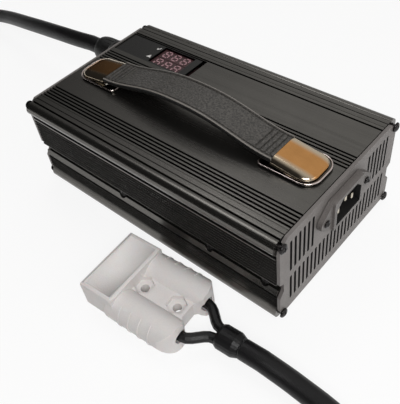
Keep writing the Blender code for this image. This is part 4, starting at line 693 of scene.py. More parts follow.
for x in SIDE_SCREWS:
    for side in (1, -1):
        middle = side * (FLANGE_OUTER + 0.0054)
        combine(lower, rod("cut", 0.0030, 0.0105, (CASE_X + x, middle, SIDE_SCREW_Z), "Y", 40))
    combine(lower, rod("cut", 0.00175, 0.2, (CASE_X + x, 0, SIDE_SCREW_Z), "Y", 24))
soften(lower, 0.00010)
print("lower shell faces:", len(lower.data.polygons))

# %% [markdown]
# Black anodised aluminium isn't quite black: in soft light it is a warm dark grey. The die leaves
# faint lines along it, which we get from a noise that is stretched along the case, and the
# anodising itself has a fine grain.

# %% The case's finish
anodised, tree, shader = new_finish("black anodising", 0.97)
lines = effect(tree, DRAWN, Length=6.0, Fineness=700.0)
fine = effect(tree, GRAIN, Scale=3000.0)
drift = effect(tree, WEAR, Scale=22.0)
both = blend_masks(tree, lines["Mask"], fine["Mask"], 0.35)
mask = blend_masks(tree, both, drift["Mask"], 0.30)
place = chain(tree, "ShaderNodeSeparateXYZ", None, _0=tree.nodes.new("ShaderNodeTexCoord").outputs["Object"])
across = math_node(tree, "ABSOLUTE", place.outputs["X"])
# Painted shade: the groove walls and floors below the deck, the display recess and the valleys between the side ribs
# are mixed towards a near-black tone.
below_deck = spread(tree, place.outputs["Y"], DECK_Z - 0.0009, DECK_Z - 0.0002, 1.0, 0.0)
on_deck = spread(tree, across, deck_edge, deck_edge + 0.0006, 1.0, 0.0)
in_panel = spread(tree, across, SIDE_Y - 0.0007, SIDE_Y - 0.0001, 1.0, 0.0)
height = place.outputs["Y"]
upper_ribs = math_node(tree, "MULTIPLY", spread(tree, height, 0.0268, 0.0275), spread(tree, height, 0.0552, 0.0556, 1.0, 0.0))
lower_ribs = math_node(tree, "MULTIPLY", spread(tree, height, 0.0084, 0.0090), spread(tree, height, 0.0214, 0.0219, 1.0, 0.0))
on_panel = math_node(tree, "MAXIMUM", upper_ribs, lower_ribs)
recess = math_node(
    tree, "MAXIMUM", math_node(tree, "MULTIPLY", below_deck, on_deck), math_node(tree, "MULTIPLY", in_panel, on_panel)
)
metal = chain(tree, "ShaderNodeMix", {"data_type": "RGBA"}, _0=mask, _6=tone(0.37, 0.362, 0.35), _7=tone(0.46, 0.452, 0.437))
sunk = chain(tree, "ShaderNodeMix", {"data_type": "RGBA"}, _0=recess, _6=metal.outputs[2], _7=tone(0.08, 0.078, 0.076))
tree.links.new(sunk.outputs[2], shader.inputs["Base Color"])
tree.links.new(spread(tree, mask, 0.0, 1.0, 0.30, 0.20), shader.inputs["Roughness"])
emboss(tree, shader, both, 0.000018)
dress(upper, anodised, "anodised_case", "top_shell")
dress(lower, anodised, "anodised_case", "bottom_shell")
print("case dressed")

# %% [markdown]
# ## The end plates
#
# Each end is closed by a stamped plate whose outline follows the groove, and whose corners are
# notched round the screws. The right plate has two rows of air slots and the inlet's opening. The
# left one has the fan's ring grille and the hole for the gland.

# %% End plates
PLATE = 0.0020
PLATE_X = LENGTH / 2 + 0.0003 + PLATE / 2
INLET_Z = DECK_Z - 0.0166
EAR_Y = 0.0200
FAN_Y = -(rail - 0.0003 - 0.0250)
FAN_Z = 0.0345
GLAND_Y = HALF - 0.0320
GLAND_Z = DECK_Z - 0.0124
reach = 0.0046
edge = (
    [(SCREW_Y - reach, BELLY_Z + 0.0004)]
    + arc(SCREW_Y, SCREW_LOW, 0.0024, 225, 45, 20)
    + [(SIDE_Y - 0.0004, SCREW_LOW + reach), (SIDE_Y - 0.0004, GROOVE_FLOOR - SLOPE)]
    + [(GROOVE_Y - 0.0004, GROOVE_FLOOR), (GROOVE_Y - 0.0004, GROOVE_TOP - 0.0019)]
    + [(SIDE_Y - 0.0004, GROOVE_TOP), (SIDE_Y - 0.0004, SCREW_HIGH - reach)]
    + arc(SCREW_Y, SCREW_HIGH, 0.0024, 315, 135, 20)
    + [(SCREW_Y - reach, DECK_Z - 0.0004)]
)
edge = edge + mirrored(edge)
slots = []
for i in range(25):
    y = 0.0948 * i / 24 - 0.0474
    slots.append(round_box(y - 0.00095, y + 0.00095, 0.0110, 0.0312, 0.00095, 5))
    if abs(y) > 0.0268:
        slots.append(round_box(y - 0.00095, y + 0.00095, 0.0362, 0.0605, 0.00095, 5))
opening = round_box(-0.0138, 0.0138, INLET_Z - 0.01005, INLET_Z + 0.01005, 0.001, 4)
ears = [arc(side * EAR_Y, INLET_Z, 0.00175, 0, 345, 23) for side in (-1, 1)]
right_plate = plate("right_plate", [edge, opening, *ears, *slots], PLATE, (CASE_X + PLATE_X, 0, 0), ALONG_X)
soften(right_plate, 0.00022, 2)

grille = []
for ring in range(1, 4):
    inner = ring * 0.0059 + 0.0009
    outer = (ring + 1) * 0.0059 - 0.0009
    for spoke in range(4):
        first = 90 * spoke
        near = math.degrees(0.0018 / inner)
        far = math.degrees(0.0018 / outer)
        grille.append(
            arc(FAN_Y, FAN_Z, outer, first + far, first + 90 - far, 18)
            + arc(FAN_Y, FAN_Z, inner, first + 90 - near, first + near, 18)
        )
fan_holes = [(FAN_Y + a * 0.020, FAN_Z + b * 0.020) for a in (-1, 1) for b in (-1, 1)]
holes = [arc(y, z, 0.00175, 0, 345, 23) for y, z in fan_holes]
holes.append(arc(GLAND_Y, GLAND_Z, 0.0083, 0, 350, 35))
left_plate = plate("left_plate", [edge, *grille, *holes], PLATE, (CASE_X - PLATE_X, 0, 0), ALONG_X)
soften(left_plate, 0.00022, 2)
print("plates:", len(right_plate.data.polygons), len(left_plate.data.polygons))

# %% Plate finish
satin = simple_finish(
    "satin plate", tone(0.49, 0.470, 0.460), tone(0.42, 0.402, 0.392), 0.42, 0.55, grain=2200.0, depth=0.00004,
    metallic=0.25,
)
dress(right_plate, satin, "end_plate", "inlet_end_plate")
dress(left_plate, satin, "end_plate", "fan_end_plate")
# Painted shade: the walls of the slots, the grille rings and the holes get a near-black finish.
hollow_shade_finish = simple_finish("painted hollow shade", tone(0.05, 0.048, 0.047), tone(0.03, 0.03, 0.03), 0.5, 0.7, grain=1500.0, depth=0.00003)
for panel in (left_plate, right_plate):
    panel.data.materials.append(hollow_shade_finish)
    for face in panel.data.polygons:
        if abs(face.normal.z) < 0.3 and abs(face.center.x) < 0.0490 and 0.0100 < face.center.y < 0.0615:
            face.material_index = 1

# %% [markdown]
# ## The strap
#
# The strap is moulded, with a raised border, a leather-like field and a few ridges across each
# end. Its section changes along its length, so we loft it: one closed ring of points at each
# station along the arch, and faces between neighbouring rings.

# %% Strap
HANDLE_Y = -0.0055
STRAP_HALF = 0.0675
CAP_Z = DECK_Z + 0.0076
CAP_SLOPE = 0.0034 / 0.0250
CAP_START = STRAP_HALF + 0.0003
RIDGE = 0.0032


def strap_rise(x):
    share = min(abs(x) / STRAP_HALF, 1)
    return 0.0098 * (1 + math.cos(math.pi * share**1.25)) / 2


def cap_line(x):
    return CAP_Z - CAP_SLOPE * (abs(x) - CAP_START)


def strap_ring(bm, x):
    """One ring of the strap's section: flat below, a lip, a small groove and a field above."""
    half = 0.0115
    top = CAP_Z + strap_rise(x)
    low = top - 0.0032
    ridge_zone = STRAP_HALF - 4 * RIDGE
    field = -0.00035
    if abs(x) > ridge_zone:
        wave = (abs(x) - ridge_zone) / RIDGE % 1
        field = -0.00095 if 0.10 < wave < 0.45 else -0.00005
    above = [(half - 0.0006, 0), (half - 0.0014, 0), (half - 0.0017, -0.0003), (half - 0.0019, -0.0009)]
    above += [(half - 0.0023, -0.0009), (half - 0.0026, field)]
    flank = [(half - 0.0007, -0.0032), (half - 0.0002, -0.0030), (half, -0.0026), (half, -0.0007), (half - 0.0002, -0.0002)]
    right = flank + above + [(half * f, field) for f in (0.5, 0.2)]
    left = [(-y, z) for y, z in reversed(right)]
    points = right + left + [(-half * 0.5, -0.0032), (half * 0.5, -0.0032)]
    return [bm.verts.new((x + CASE_X, HANDLE_Y + y, top + z)) for y, z in points]


stations = [i / 60 * (STRAP_HALF - 4 * RIDGE) for i in range(-60, 61)]
ends = [STRAP_HALF - 4 * RIDGE + RIDGE * i / 12 for i in range(1, 49)]
stations = [-x for x in reversed(ends)] + stations + ends
bm = bmesh.new()
rings = [strap_ring(bm, x) for x in stations]
for first, second in zip(rings, rings[1:]):
    for i in range(len(first)):
        j = (i + 1) % len(first)
        bm.faces.new((first[i], first[j], second[j], second[i]))
bm.faces.new(rings[0])
bm.faces.new(rings[-1])
strap = from_bmesh("carrying_strap", bm, angle=40)
for side in (1, -1):
    section = [
        (side * (STRAP_HALF - 0.001), cap_line(STRAP_HALF) - 0.0017),
        (side * 0.0850, cap_line(0.0850) - 0.0017),
        (side * 0.0850, cap_line(0.0850) - 0.0031),
        (side * (STRAP_HALF - 0.001), cap_line(STRAP_HALF) - 0.0031),
    ]
    combine(strap, plate("tongue", [section], 0.0204, (CASE_X, HANDLE_Y, 0), ALONG_Y), "UNION")
print("strap faces:", len(strap.data.polygons))

# %% Strap finish
leather, tree, shader = new_finish("moulded leather grain")
cells = effect(tree, LEATHER, Scale=520.0, Crease=0.3)
fine = effect(tree, GRAIN, Scale=900.0)
mask = blend_masks(tree, cells["Mask"], fine["Mask"], 0.75)
vary(tree, shader, mask, tone(0.31, 0.298, 0.282), tone(0.125, 0.12, 0.116), 0.38, 0.58)
# Painted highlight and painted shade: a narrow lighter band is painted along the top of the raised border, and the
# strap's sides beyond it are painted near black.
place = chain(tree, "ShaderNodeSeparateXYZ", None, _0=tree.nodes.new("ShaderNodeTexCoord").outputs["Object"])
across = math_node(tree, "ABSOLUTE", math_node(tree, "SUBTRACT", place.outputs["Y"], HANDLE_Y))
grained = shader.inputs["Base Color"].links[0].from_socket
border_highlight = chain(tree, "ShaderNodeMix", {"data_type": "RGBA"}, _0=spread(tree, across, 0.0103, 0.0108), _6=grained, _7=tone(0.47, 0.45, 0.43))
shaded = chain(
    tree, "ShaderNodeMix", {"data_type": "RGBA"}, _0=spread(tree, across, 0.01125, 0.0114), _6=border_highlight.outputs[2], _7=tone(0.07, 0.068, 0.066)
)
tree.links.new(shaded.outputs[2], shader.inputs["Base Color"])
emboss(tree, shader, cells["Height"], 0.00016, 0.8)
dress(strap, leather, "strap", "handle_strap")

# %% [markdown]
# ## Caps and bases
#
# The strap's ends are held by bright bronze caps. Each cap slopes down to the end of the case, has
# large round corners there, and rolls over at both sides. Rings do it: every ring is the cap's
# plan, drawn in a little further and lifted along a quarter of an ellipse, and faces join them.
# Under each cap lies a thin base with a bright rolled rim, made from rings in the same way.

# %% Caps
CAP_END = CAP_START + 0.0250
BASE_TOP = DECK_Z + 0.0003 + 0.0014


def plan(start, end, half, inner, outer, steps=14):
    """A plate seen from above: small corners towards the strap, large ones towards the end."""
    near = arc(start + inner, inner - half, inner, 180, 270, 6) if inner > 0 else [(start, -half)]
    turn = arc(end - outer, outer - half, outer, 270, 360, steps)
    run = [(near[-1][0] + (turn[0][0] - near[-1][0]) * i / 10, -half) for i in range(1, 10)]
    points = near + run + turn
    return points + [(x, -y) for x, y in reversed(points)]


def ring(bm, side, points, level):
    return [bm.verts.new((CASE_X + side * x, HANDLE_Y + y, level(x))) for x, y in points]


def close_rings(name, bm, rings, angle=35):
    """Join each ring to the next, and fill the first and the last."""
    for first, second in zip(rings, rings[1:]):
        for i in range(len(first)):
            j = (i + 1) % len(first)
            bm.faces.new((first[i], first[j], second[j], second[i]))
    bm.faces.new(rings[0])
    bm.faces.new(rings[-1])
    return from_bmesh(name, bm, angle=angle)


def cap_foot(x):
    """The lower edge of a cap's side: high by the strap, and down on the base at the outer end."""
    share = min(max((x - CAP_START) / 0.0150, 0), 1)
    return (cap_line(CAP_START) - 0.0036) * (1 - share) + (BASE_TOP + 0.0003) * share


def cap_shape(name, side):
    bm = bmesh.new()

    def cap_ring(inset, level):
        return ring(bm, side, plan(CAP_START, CAP_END - inset, 0.0119 - inset, 0, 0.0080 - inset), level)

    rings = [cap_ring(0.0012, lambda x: cap_line(x) - 0.0014), cap_ring(0.0009, cap_foot)]
    rings += [cap_ring(-0.0003, cap_foot), cap_ring(-0.0003, lambda x: cap_foot(x) + 0.0004)]
    for i in range(13):
        a = math.radians(90 * i / 12)
        lift = math.sin(a)
        inset = 0.0055 * (1 - math.cos(a))
        rings.append(cap_ring(inset, lambda x: (cap_foot(x) + 0.0006) * (1 - lift) + cap_line(x) * lift))
    return close_rings(name, bm, rings)


def base_shape(name, side):
    bm = bmesh.new()
    rings = []
    for inset, height in ((0.0003, 0.0003), (0, 0.0006), (0, 0.0014)):
        outline = plan(CAP_START - 0.0092 + inset, 0.0953 - inset, 0.0134 - inset, 0.0030, 0.0095)
        rings.append(ring(bm, side, outline, lambda x: DECK_Z + height))
    shape = close_rings(name, bm, rings)
    end = 0.0850
    section = [
        (side * CAP_START, BASE_TOP - 0.0007), (side * end, BASE_TOP - 0.0007),
        (side * end, cap_line(end) - 0.0034), (side * CAP_START, cap_line(CAP_START) - 0.0034),
    ]
    return combine(shape, plate("wedge", [section], 0.0170, (CASE_X, HANDLE_Y, 0), ALONG_Y), "UNION")


def rim_shape(name, side):
    """The bright roll round a base: a half-round bead that follows its outline."""
    bm = bmesh.new()
    outer, inner = [], []
    rows = []
    for i in range(9):
        a = math.radians(180 * i / 8)
        inset = 0.00055 * (1 - math.cos(a)) - 0.0001
        outline = plan(CAP_START - 0.0092 + inset, 0.0953 - inset, 0.0134 - inset, 0.0030 - inset, 0.0095 - inset)
        rows.append(ring(bm, side, outline, lambda x: DECK_Z + 0.0014 + 0.0006 * math.sin(a)))
    for first, second in zip(rows, rows[1:] + rows[:1]):
        for i in range(len(first)):
            j = (i + 1) % len(first)
            bm.faces.new((first[i], first[j], second[j], second[i]))
    return from_bmesh(name, bm)


cap_pieces = []
for word, side in (("left", -1), ("right", 1)):
    shapes = (cap_shape(f"cap_{word}", side), base_shape(f"cap_base_{word}", side), rim_shape(f"cap_rim_{word}", side))
    cap_pieces.append((word, *shapes))
print("caps:", [len(piece.data.polygons) for piece in cap_pieces[0][1:]])

# %% [markdown]
# The caps' metal is bronze, and a paler champagne tone along the rolled sides is a painted highlight. A
# mask from the distance to the strap's middle line moves one tone into the other.

# %% Plated finishes
plated = simple_finish(
    "bright plating", tone(0.90, 0.85, 0.83), tone(0.80, 0.75, 0.73), 0.12, 0.20, grain=900.0, depth=0.000002, metallic=1.0
)
smoked = simple_finish(
    "dark plating", tone(0.40, 0.39, 0.37), tone(0.34, 0.33, 0.315), 0.14, 0.24, grain=900.0, depth=0.000006, metallic=1.0
)
bronze, tree, shader = new_finish("bronze plating", 1.0)
spot = chain(tree, "ShaderNodeSeparateXYZ", None, _0=tree.nodes.new("ShaderNodeTexCoord").outputs["Object"])
across = math_node(tree, "ABSOLUTE", math_node(tree, "SUBTRACT", spot.outputs["Y"], HANDLE_Y))
# Painted highlight: the rolled sides are mixed towards a pale champagne tone.
flank_highlight_mask = spread(tree, across, 0.0056, 0.0084)
drift = effect(tree, WEAR, Scale=60.0)
warm = chain(tree, "ShaderNodeMix", {"data_type": "RGBA"}, _0=drift["Mask"], _6=tone(0.82, 0.60, 0.37), _7=tone(0.76, 0.55, 0.33))
mixed = chain(tree, "ShaderNodeMix", {"data_type": "RGBA"}, _0=flank_highlight_mask, _6=warm.outputs[2], _7=tone(0.80, 0.74, 0.65))
tree.links.new(mixed.outputs[2], shader.inputs["Base Color"])
tree.links.new(spread(tree, drift["Mask"], 0.0, 1.0, 0.14, 0.20), shader.inputs["Roughness"])
for word, cap, base, rim in cap_pieces:
    dress(cap, bronze, "handle_cap", f"handle_cap_{word}")
    dress(base, smoked, "handle_cap", f"handle_base_{word}")
    dress(rim, plated, "handle_cap")

# %% [markdown]
# ## The display
#
# A dark glossy panel lies sunk in the deck at the left. Its window shows two rows of three
# seven-segment digits, each segment a thin slanted slab on a digit module. Plain numbers are all
# that they show.

# %% Display
panel_top = DECK_Z - 0.0006
outer = round_box(PANEL_LEFT + 0.0003, SLOT_LEFT, PANEL_FRONT + 0.0003, PANEL_BACK - 0.0003, 0.0004, 3)
inner = round_box(WINDOW_LEFT + 0.0001, WINDOW_RIGHT - 0.0001, PANEL_FRONT + 0.0019, PANEL_BACK - 0.0011, 0.0006, 4)
overlay = plate("display_panel", [outer, inner], 0.0006, (0, 0, panel_top - 0.0003))
soften(overlay, 0.00012, 2)

DIGIT_X = (WINDOW_LEFT + WINDOW_RIGHT) / 2
SEGMENTS = {"0": "abcdef", "1": "bc", "2": "abged", "3": "abgcd", "4": "fgbc", "5": "afgcd", "6": "afgedc",
            "7": "abc", "8": "abcdefg", "9": "abcdfg"}


def segment(kind, width, height, stroke):
    """One slab of a digit, as a slanted hexagon."""
    w, h, s = width / 2, height / 2, stroke / 2
    lay = {"a": (0, h), "g": (0, 0), "d": (0, -h)}
    if kind in lay:
        cx, cy = lay[kind]
        points = [(cx - w + s, cy), (cx - w + 2 * s, cy + s), (cx + w - 2 * s, cy + s), (cx + w - s, cy),
                  (cx + w - 2 * s, cy - s), (cx - w + 2 * s, cy - s)]
    else:
        cx = w if kind in "bc" else -w
        cy = h / 2 if kind in "bf" else -h / 2
        r = h / 2
        points = [(cx, cy - r + s), (cx + s, cy - r + 2 * s), (cx + s, cy + r - 2 * s), (cx, cy + r - s),
                  (cx - s, cy + r - 2 * s), (cx - s, cy - r + 2 * s)]
    return [(x + 0.14 * y, y) for x, y in points]


def digit_row(name, text, middle_y, face_z):
    shapes = []
    for i, figure in enumerate(text):
        x = DIGIT_X + (i - 1) * 0.0083
        for kind in SEGMENTS[figure]:
            shapes.append([(x + px, middle_y + py) for px, py in segment(kind, 0.0044, 0.0066, 0.00085)])
    return plate(name, shapes, 0.0003, (0, 0, face_z + 0.00015))


digit_rows = []
modules = []
for word, side in (("upper", 1), ("lower", -1)):
    y = PANEL_Y + side * 0.0049
    module = block(f"digit_module_{word}", (0.0278, 0.0095, 0.0040), (DIGIT_X, y, CEILING_Z - 0.0020))
    soften(module, 0.0002, 2)
    modules.append((word, module))
    digit_rows.append(digit_row(f"digits_{word}", "888", y, CEILING_Z))
mark_x = CASE_X - 0.0698
tick = [(-0.0016, 0.0004), (-0.0008, -0.0012), (0.0018, 0.0016), (0.0011, 0.0018), (-0.0007, 0.0000), (-0.0011, 0.0007)]
wedge = [(-0.0018, -0.0014), (0.0018, -0.0014), (0.0004, 0.0016)]
marks = []
for word, shape, y in (("upper", tick, PANEL_Y + 0.0052), ("lower", wedge, PANEL_Y - 0.0045)):
    marks.append(plate(f"mark_{word}", [shape], 0.0002, (mark_x, y, panel_top + 0.0001)))
print("digit faces:", [len(row.data.polygons) for row in digit_rows])

# %% Display finishes
film = simple_finish("dark film", tone(0.085, 0.08, 0.076), tone(0.065, 0.062, 0.06), 0.20, 0.32, grain=3000.0, depth=0.000006)
smoke = simple_finish("smoked module", tone(0.27, 0.165, 0.175), tone(0.20, 0.125, 0.13), 0.2, 0.3, grain=3000.0, depth=0.00001)
lit = simple_finish("unlit segment", tone(0.68, 0.55, 0.57), tone(0.56, 0.42, 0.44), 0.35, 0.5, grain=3000.0, depth=0.00001)
pale = simple_finish("white mark", tone(0.86, 0.85, 0.84), tone(0.78, 0.77, 0.76), 0.4, 0.5, grain=3000.0, depth=0.00001)
dress(overlay, film, "overlay", "display_overlay")
for word, module in modules:
    dress(module, smoke, "digits", f"display_digits_{word}")
for row in digit_rows:
    dress(row, lit, "digits")
for mark in marks:
    dress(mark, pale, "digits")

# %% [markdown]
# ## The mains inlet
#
# The inlet is a black moulding: a flange with two tapering ears, a raised block, and a socket with
# its two upper corners cut off. Three flat pins stand in the socket. Union and difference of
# plain shapes give it, and a narrow bevel rounds every moulded edge.

# %% Inlet
PLATE_FACE = LENGTH / 2 + 0.0003 + PLATE
INLET_SEAT = PLATE_FACE + 0.0003
INLET_FACE = INLET_SEAT + 0.0044
half_w, half_h = 0.0145, 0.01075
flange = [(half_w, -half_h)] + arc(EAR_Y, 0, 0.0048, -60, 60, 16) + [(half_w, half_h)]
flange = flange + mirrored(flange)
inlet = plate("inlet_moulding", [flange], 0.0030, (CASE_X + INLET_SEAT + 0.0015, 0, INLET_Z), ALONG_X)
rim = round_box(-half_w, half_w, -half_h, half_h, 0.0012, 5)
combine(inlet, plate("rim", [rim], 0.0029, (CASE_X + INLET_FACE - 0.00145, 0, INLET_Z), ALONG_X), "UNION")
combine(inlet, block("body", (0.0190, 0.0270, 0.0195), (CASE_X + INLET_SEAT + 0.0015 - 0.0095, 0, INLET_Z)), "UNION")
cw, ch, cc = 0.0120, 0.00825, 0.0048
socket = [(-cw, -ch), (cw, -ch), (cw, ch - cc), (cw - cc, ch), (-cw + cc, ch), (-cw, ch - cc)]
combine(inlet, plate("socket", [socket], 0.0330, (CASE_X + INLET_FACE, 0, INLET_Z), ALONG_X))
PINS = {"earth": (0, INLET_Z + 0.0020), "line": (-0.0070, INLET_Z - 0.0020), "neutral": (0.0070, INLET_Z - 0.0020)}
for y, z in PINS.values():
    combine(inlet, block("slot", (0.070, 0.0025, 0.0045), (CASE_X + INLET_SEAT - 0.0175, y, z)))
for side in (-1, 1):
    combine(inlet, rod("hole", 0.00175, 0.012, (CASE_X + INLET_SEAT, side * EAR_Y, INLET_Z), "X", 32))
soften(inlet, 0.00030, 2)
moulded = simple_finish("grey moulding", tone(0.42, 0.40, 0.39), tone(0.34, 0.322, 0.312), 0.40, 0.55, grain=1600.0, depth=0.00005)
dress(inlet, moulded, "black_plastic", "inlet_housing")
# Painted shade: the walls and floor deep inside the socket get the same near-black finish.
inlet.data.materials.append(hollow_shade_finish)
for face in inlet.data.polygons:
    inside = abs(face.center.x) < cw + 0.0002 and abs(face.center.y) < ch + 0.0002
    if inside and face.center.z < 0.0022:
        face.material_index = 1

nickel = simple_finish("nickel plating", tone(0.86, 0.83, 0.77), tone(0.74, 0.70, 0.63), 0.15, 0.28, grain=1500.0, depth=0.00001, metallic=1.0)
tail = INLET_SEAT - 0.0175 - 0.0050
length = INLET_FACE - 0.0165 + 0.0145 - tail
for name, (y, z) in PINS.items():
    pin = block(f"pin_{name}", (length, 0.0020, 0.0040), (CASE_X + tail + length / 2, y, z))
    soften(pin, 0.00065, 3)
    dress(pin, nickel, "pins", f"inlet_pin_{name}")
print("inlet faces:", len(inlet.data.polygons))

# %% [markdown]
# ## Screws
#
# All the screws are small black pan heads with a cross recess. One mesh is turned and cut, and
# every screw shares it at its own place. The recess catches a bright spot of light, so it is
# worth modelling.

# %% Screws
def pan_head(name, length, radius, head, height=0.0018):
    dome = [(head * math.sin(math.radians(a)), height * 0.30 + height * 0.70 * math.cos(math.radians(a))) for a in range(0, 91, 10)]
    profile = dome + [(head, 0), (radius, 0), (radius, -length + 0.0005), (radius - 0.0004, -length), (0, -length)]
    screw = lathe(name, profile, steps=36)
    for turn in (0, math.pi / 2):
        combine(screw, block("cross", (head * 1.15, 0.0007, 0.0020), (0, 0, height), (0, 0, turn)))
    mesh = screw.data
    mesh.shade_smooth()
    mesh.set_sharp_from_angle(angle=math.radians(35))
    bpy.data.objects.remove(screw)
    return mesh


blackened = simple_finish("blackened steel", tone(0.26, 0.25, 0.25), tone(0.15, 0.145, 0.145), 0.18, 0.30, grain=3000.0, depth=0.00002, metallic=0.9)
end_mesh = pan_head("end_screw", 0.0100, 0.0015, 0.0030)
side_mesh = pan_head("side_screw", 0.0056, 0.0015, 0.0026)
fan_mesh = pan_head("fan_screw", 0.0090, 0.0015, 0.0030)
inlet_mesh = pan_head("inlet_screw", 0.0080, 0.0015, 0.0023, 0.0012)
seat = PLATE_FACE + 0.0003
screws = []
for end, way in (("inlet", 1), ("fan", -1)):
    for word, side in (("front", -1), ("back", 1)):
        for level, z in (("top", SCREW_HIGH), ("bottom", SCREW_LOW)):
            screws.append((end_mesh, f"end_screw_{end}_{word}_{level}", (way * seat, side * SCREW_Y, z), (0, way * math.pi / 2, 0)))
for word, side in (("front", -1), ("back", 1)):
    for i, x in enumerate(SIDE_SCREWS):
        screws.append((side_mesh, f"side_screw_{word}_{i + 1}", (x, side * (GROOVE_Y + 0.0003), SIDE_SCREW_Z), (-side * math.pi / 2, 0, 0)))
    screws.append((inlet_mesh, f"inlet_screw_{word}", (INLET_SEAT + 0.0033, side * EAR_Y, INLET_Z), (0, math.pi / 2, 0)))
for i, (y, z) in enumerate(fan_holes):
    screws.append((fan_mesh, f"fan_screw_{i + 1}", (-seat, y, z), (0, -math.pi / 2, 0)))
for mesh, node, (x, y, z), turn in screws:
    piece = add("fine_" + node, mesh, (CASE_X + x, y, z), turn)
    dress(piece, blackened, "screws", node)
for word in ("left", "right"):
    nodes[f"handle_screw_{word}"].data.materials.clear()
    nodes[f"handle_screw_{word}"].data.materials.append(blackened)
print("screws:", len(screws))

# %% [markdown]
# ## The gland
#
# A cable gland has a hexagonal body against the plate and a ribbed dome nut that closes on the
# lead. The nut is a turned profile, and a ring of shallow grips is cut round its skirt.

# %% Gland
gland_x = CASE_X - PLATE_FACE - 0.0003
hexagon = arc(0, 0, 0.0106, 0, 300, 5)
body = plate("gland_hexagon", [hexagon], 0.0050, (gland_x - 0.0025, GLAND_Y, GLAND_Z), ALONG_X)
soften(body, 0.0005, 3)
thread = [(0, 0.0115), (0.0074, 0.0115)] + [(r, 0.0112 - 0.0006 * i) for i, r in enumerate((0.0080, 0.0075) * 8)] + [(0.0080, 0.0), (0, 0.0)]
combine(body, lathe("thread", thread, (gland_x - 0.0025, GLAND_Y, GLAND_Z), (0, math.pi / 2, 0)), "UNION")
high = 0.0165
dome = [(0.0078 + 0.0020 * math.cos(math.radians(a)), high / 2 + high / 2 * math.sin(math.radians(a))) for a in range(90, -1, -9)]
profile = [(0, high - 0.0006), (0.0062, high - 0.0006), (0.0066, high), *dome, (0.0098, 0.0010), (0.0092, 0), (0, 0)]
nut = lathe("gland_nut", profile, (gland_x - 0.0053, GLAND_Y, GLAND_Z), (0, -math.pi / 2, 0), 72)
grip = bmesh.new()
for i in range(18):
    turn = Matrix.Rotation(2 * math.pi * i / 18, 4, "X")
    bmesh.ops.create_cube(grip, size=1, matrix=Matrix.Translation((gland_x - 0.0098, GLAND_Y, GLAND_Z)) @ turn @ Matrix.Translation((0, 0, 0.0103)) @ Matrix.Diagonal((0.0075, 0.0011, 0.0016, 1)))
combine(nut, from_bmesh("grips", grip))
soften(nut, 0.00015, 2)
black = simple_finish("black moulding", tone(0.10, 0.10, 0.10), tone(0.07, 0.07, 0.07), 0.34, 0.48, grain=1600.0, depth=0.00004)
dress(body, black, "black_plastic", "gland_body")
dress(nut, black, "black_plastic", "gland_dome_nut")
print("gland faces:", len(body.data.polygons), len(nut.data.polygons))

# %% [markdown]
# ## The connector
#
# The connector lies flat beside the case. Two round barrels hold the cores, a hood stands over the
# front tongues, and two bolt holes with hexagonal seats go through the web between the barrels.

# %% Connector
turned = Matrix.Translation((0.0329, -0.0933, 0)) @ Matrix.Rotation(CONNECTOR_TURN, 4, "Z")


def lay(obj):
    """Carry a shape from the connector's own frame to where it lies."""
    bpy.context.view_layer.update()
    obj.matrix_world = turned @ obj.matrix_world
    return obj


CL, CW, BR = 0.0699, 0.0503, 0.0102
front = -CL / 2
barrel_y = CW / 2 - BR
meet = math.degrees(math.asin(0.0050 / BR))
half = arc(barrel_y, BR, BR, -180 + meet, 180 - meet, 48)
section = half + mirrored(half)
body_front = front + 0.0050 + 0.0192
housing = plate("connector_shell", [section], CL / 2 - body_front, (body_front + (CL / 2 - body_front) / 2, 0, 0), ALONG_X)
corner = 0.0120
outline = (
    [(front, CW / 2 + 0.0010), (CL / 2 - corner, CW / 2 + 0.0010)]
    + arc(CL / 2 - corner, CW / 2 - corner, corner, 84, 0, 19)
    + [(CL / 2, BR * 0.45 + corner * 0.4), (CL / 2 - corner * 0.4, BR * 0.45)]
)
outline = outline + [(x, -y) for x, y in reversed(outline)]
combine(housing, plate("keep", [outline], 0.09, (0, 0, 0.022)), "INTERSECT")
for side in (-1, 1):
    near, far = side * 0.0030, side * 0.0215
    clip = side * 0.0030
    tongue = [(front + 0.0290, near), (front + 0.0030, near), (front, near + clip), (front, far - clip),
              (front + 0.0030, far), (front + 0.0290, far)]
    combine(housing, plate("tongue", [tongue], 0.0125, (0, 0, 0.00625)), "UNION")
hood = round_box(-0.0225, 0.0225, 0.0105, 0.0221, 0.0012, 5)
combine(housing, plate("hood", [hood], 0.0240, (front + 0.0050 + 0.0120, 0, 0), ALONG_X), "UNION")
for side in (-1, 1):
    y = side * 0.01225
    combine(housing, block("port", (0.0480, 0.0118, 0.0100), (front, y, BR)))
    combine(housing, rod("bore", 0.0045, 0.0470, (front + 0.0240 + 0.0235, y, BR), "X", 40))
    for i in range(4):
        x = front + 0.0345 + 0.0072 * i
        rib = arc(barrel_y, BR, BR + 0.00045, -100, 65, 24) + arc(barrel_y, BR, BR - 0.0004, 65, -100, 24)
        combine(housing, plate("rib", [[(side * a, b) for a, b in rib]], 0.0007, (x, 0, 0), ALONG_X), "UNION")
for x in (front + 0.0335, front + 0.0575):
    combine(housing, rod("bolt", 0.0027, 0.04, (x, 0, BR), "Z", 40))
    combine(housing, rod("seat", 0.0064, 0.0064, (x, 0, BR + 0.0050), "Z", 6))
soften(housing, 0.00035, 2)
frame_outer = round_box(front + 0.0062, front + 0.0278, -0.0212, 0.0212, 0.0010, 4)
frame_inner = round_box(front + 0.0074, front + 0.0266, -0.0200, 0.0200, 0.0008, 4)
border = plate("connector_border", [frame_outer, frame_inner], 0.0004, (0, 0, 0.0221))
soften(border, 0.00012, 2)
combine(housing, border, "UNION")
lay(housing)
grey = simple_finish("grey connector plastic", tone(0.85, 0.835, 0.825), tone(0.82, 0.802, 0.795), 0.50, 0.62, grain=1400.0, depth=0.00004)
grey.node_tree.nodes["Principled BSDF"].inputs["Subsurface Weight"].default_value = 0.08
grey.node_tree.nodes["Principled BSDF"].inputs["Subsurface Scale"].default_value = 0.002
dress(housing, grey, "connector_plastic", "connector_housing")
print("connector faces:", len(housing.data.polygons))
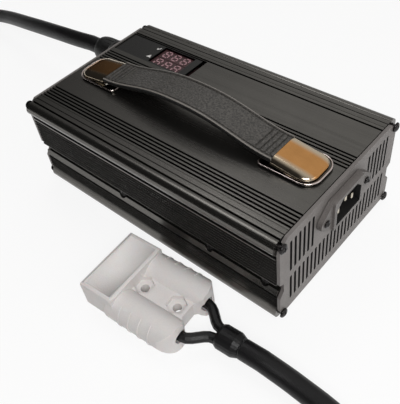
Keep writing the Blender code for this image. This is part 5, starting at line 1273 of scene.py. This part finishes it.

# %% [markdown]
# ## The lead
#
# The lead hangs together with the pieces at its two ends. It is not named as a cord here, so it
# stays a plain curve.

# %% The lead
print("lead stays a plain curve")

# %% [markdown]
# ## Everything that keeps its solid
#
# The remaining solids already have the right shape, so they only get a finish: the contacts and
# cores, the fan, and the parts inside the case that show through the slots.

# %% Other finishes
def repaint(material, *names):
    for name in names:
        nodes[name].data.materials.clear()
        nodes[name].data.materials.append(material)


silver = simple_finish("silver plating", tone(0.88, 0.87, 0.84), tone(0.76, 0.75, 0.71), 0.2, 0.35, grain=1200.0, depth=0.00002, metallic=1.0)
fan_black = simple_finish("fan plastic", tone(0.20, 0.20, 0.20), tone(0.14, 0.14, 0.14), 0.35, 0.5, grain=1500.0, depth=0.00004)
green = simple_finish("board lacquer", tone(0.10, 0.36, 0.20), tone(0.06, 0.27, 0.14), 0.28, 0.42, grain=900.0, depth=0.00003)
bare = simple_finish("bare aluminium", tone(0.80, 0.80, 0.80), tone(0.68, 0.68, 0.69), 0.3, 0.45, grain=1500.0, depth=0.00003, metallic=1.0)
ferrite = simple_finish("ferrite and tape", tone(0.22, 0.22, 0.24), tone(0.14, 0.14, 0.15), 0.5, 0.7, grain=1200.0, depth=0.00008)
copper = simple_finish("enamelled copper", tone(0.72, 0.42, 0.22), tone(0.55, 0.28, 0.13), 0.2, 0.35, grain=1800.0, depth=0.00008, metallic=0.7)
sleeve = simple_finish("capacitor sleeve", tone(0.14, 0.16, 0.26), tone(0.09, 0.10, 0.17), 0.25, 0.4, grain=1500.0, depth=0.00003)
repaint(silver, "contact_positive", "contact_negative")
repaint(rubber, "core_positive", "core_negative", "lead_split_boot")
repaint(fan_black, "fan_frame", "fan_rotor")
repaint(green, "main_board")
repaint(smoke, "display_board")
repaint(bare, "heatsink_front", "heatsink_back")
repaint(ferrite, "transformer")
repaint(copper, "pfc_choke")
repaint(sleeve, "bulk_capacitor_1", "bulk_capacitor_2", "output_capacitor_1", "output_capacitor_2")
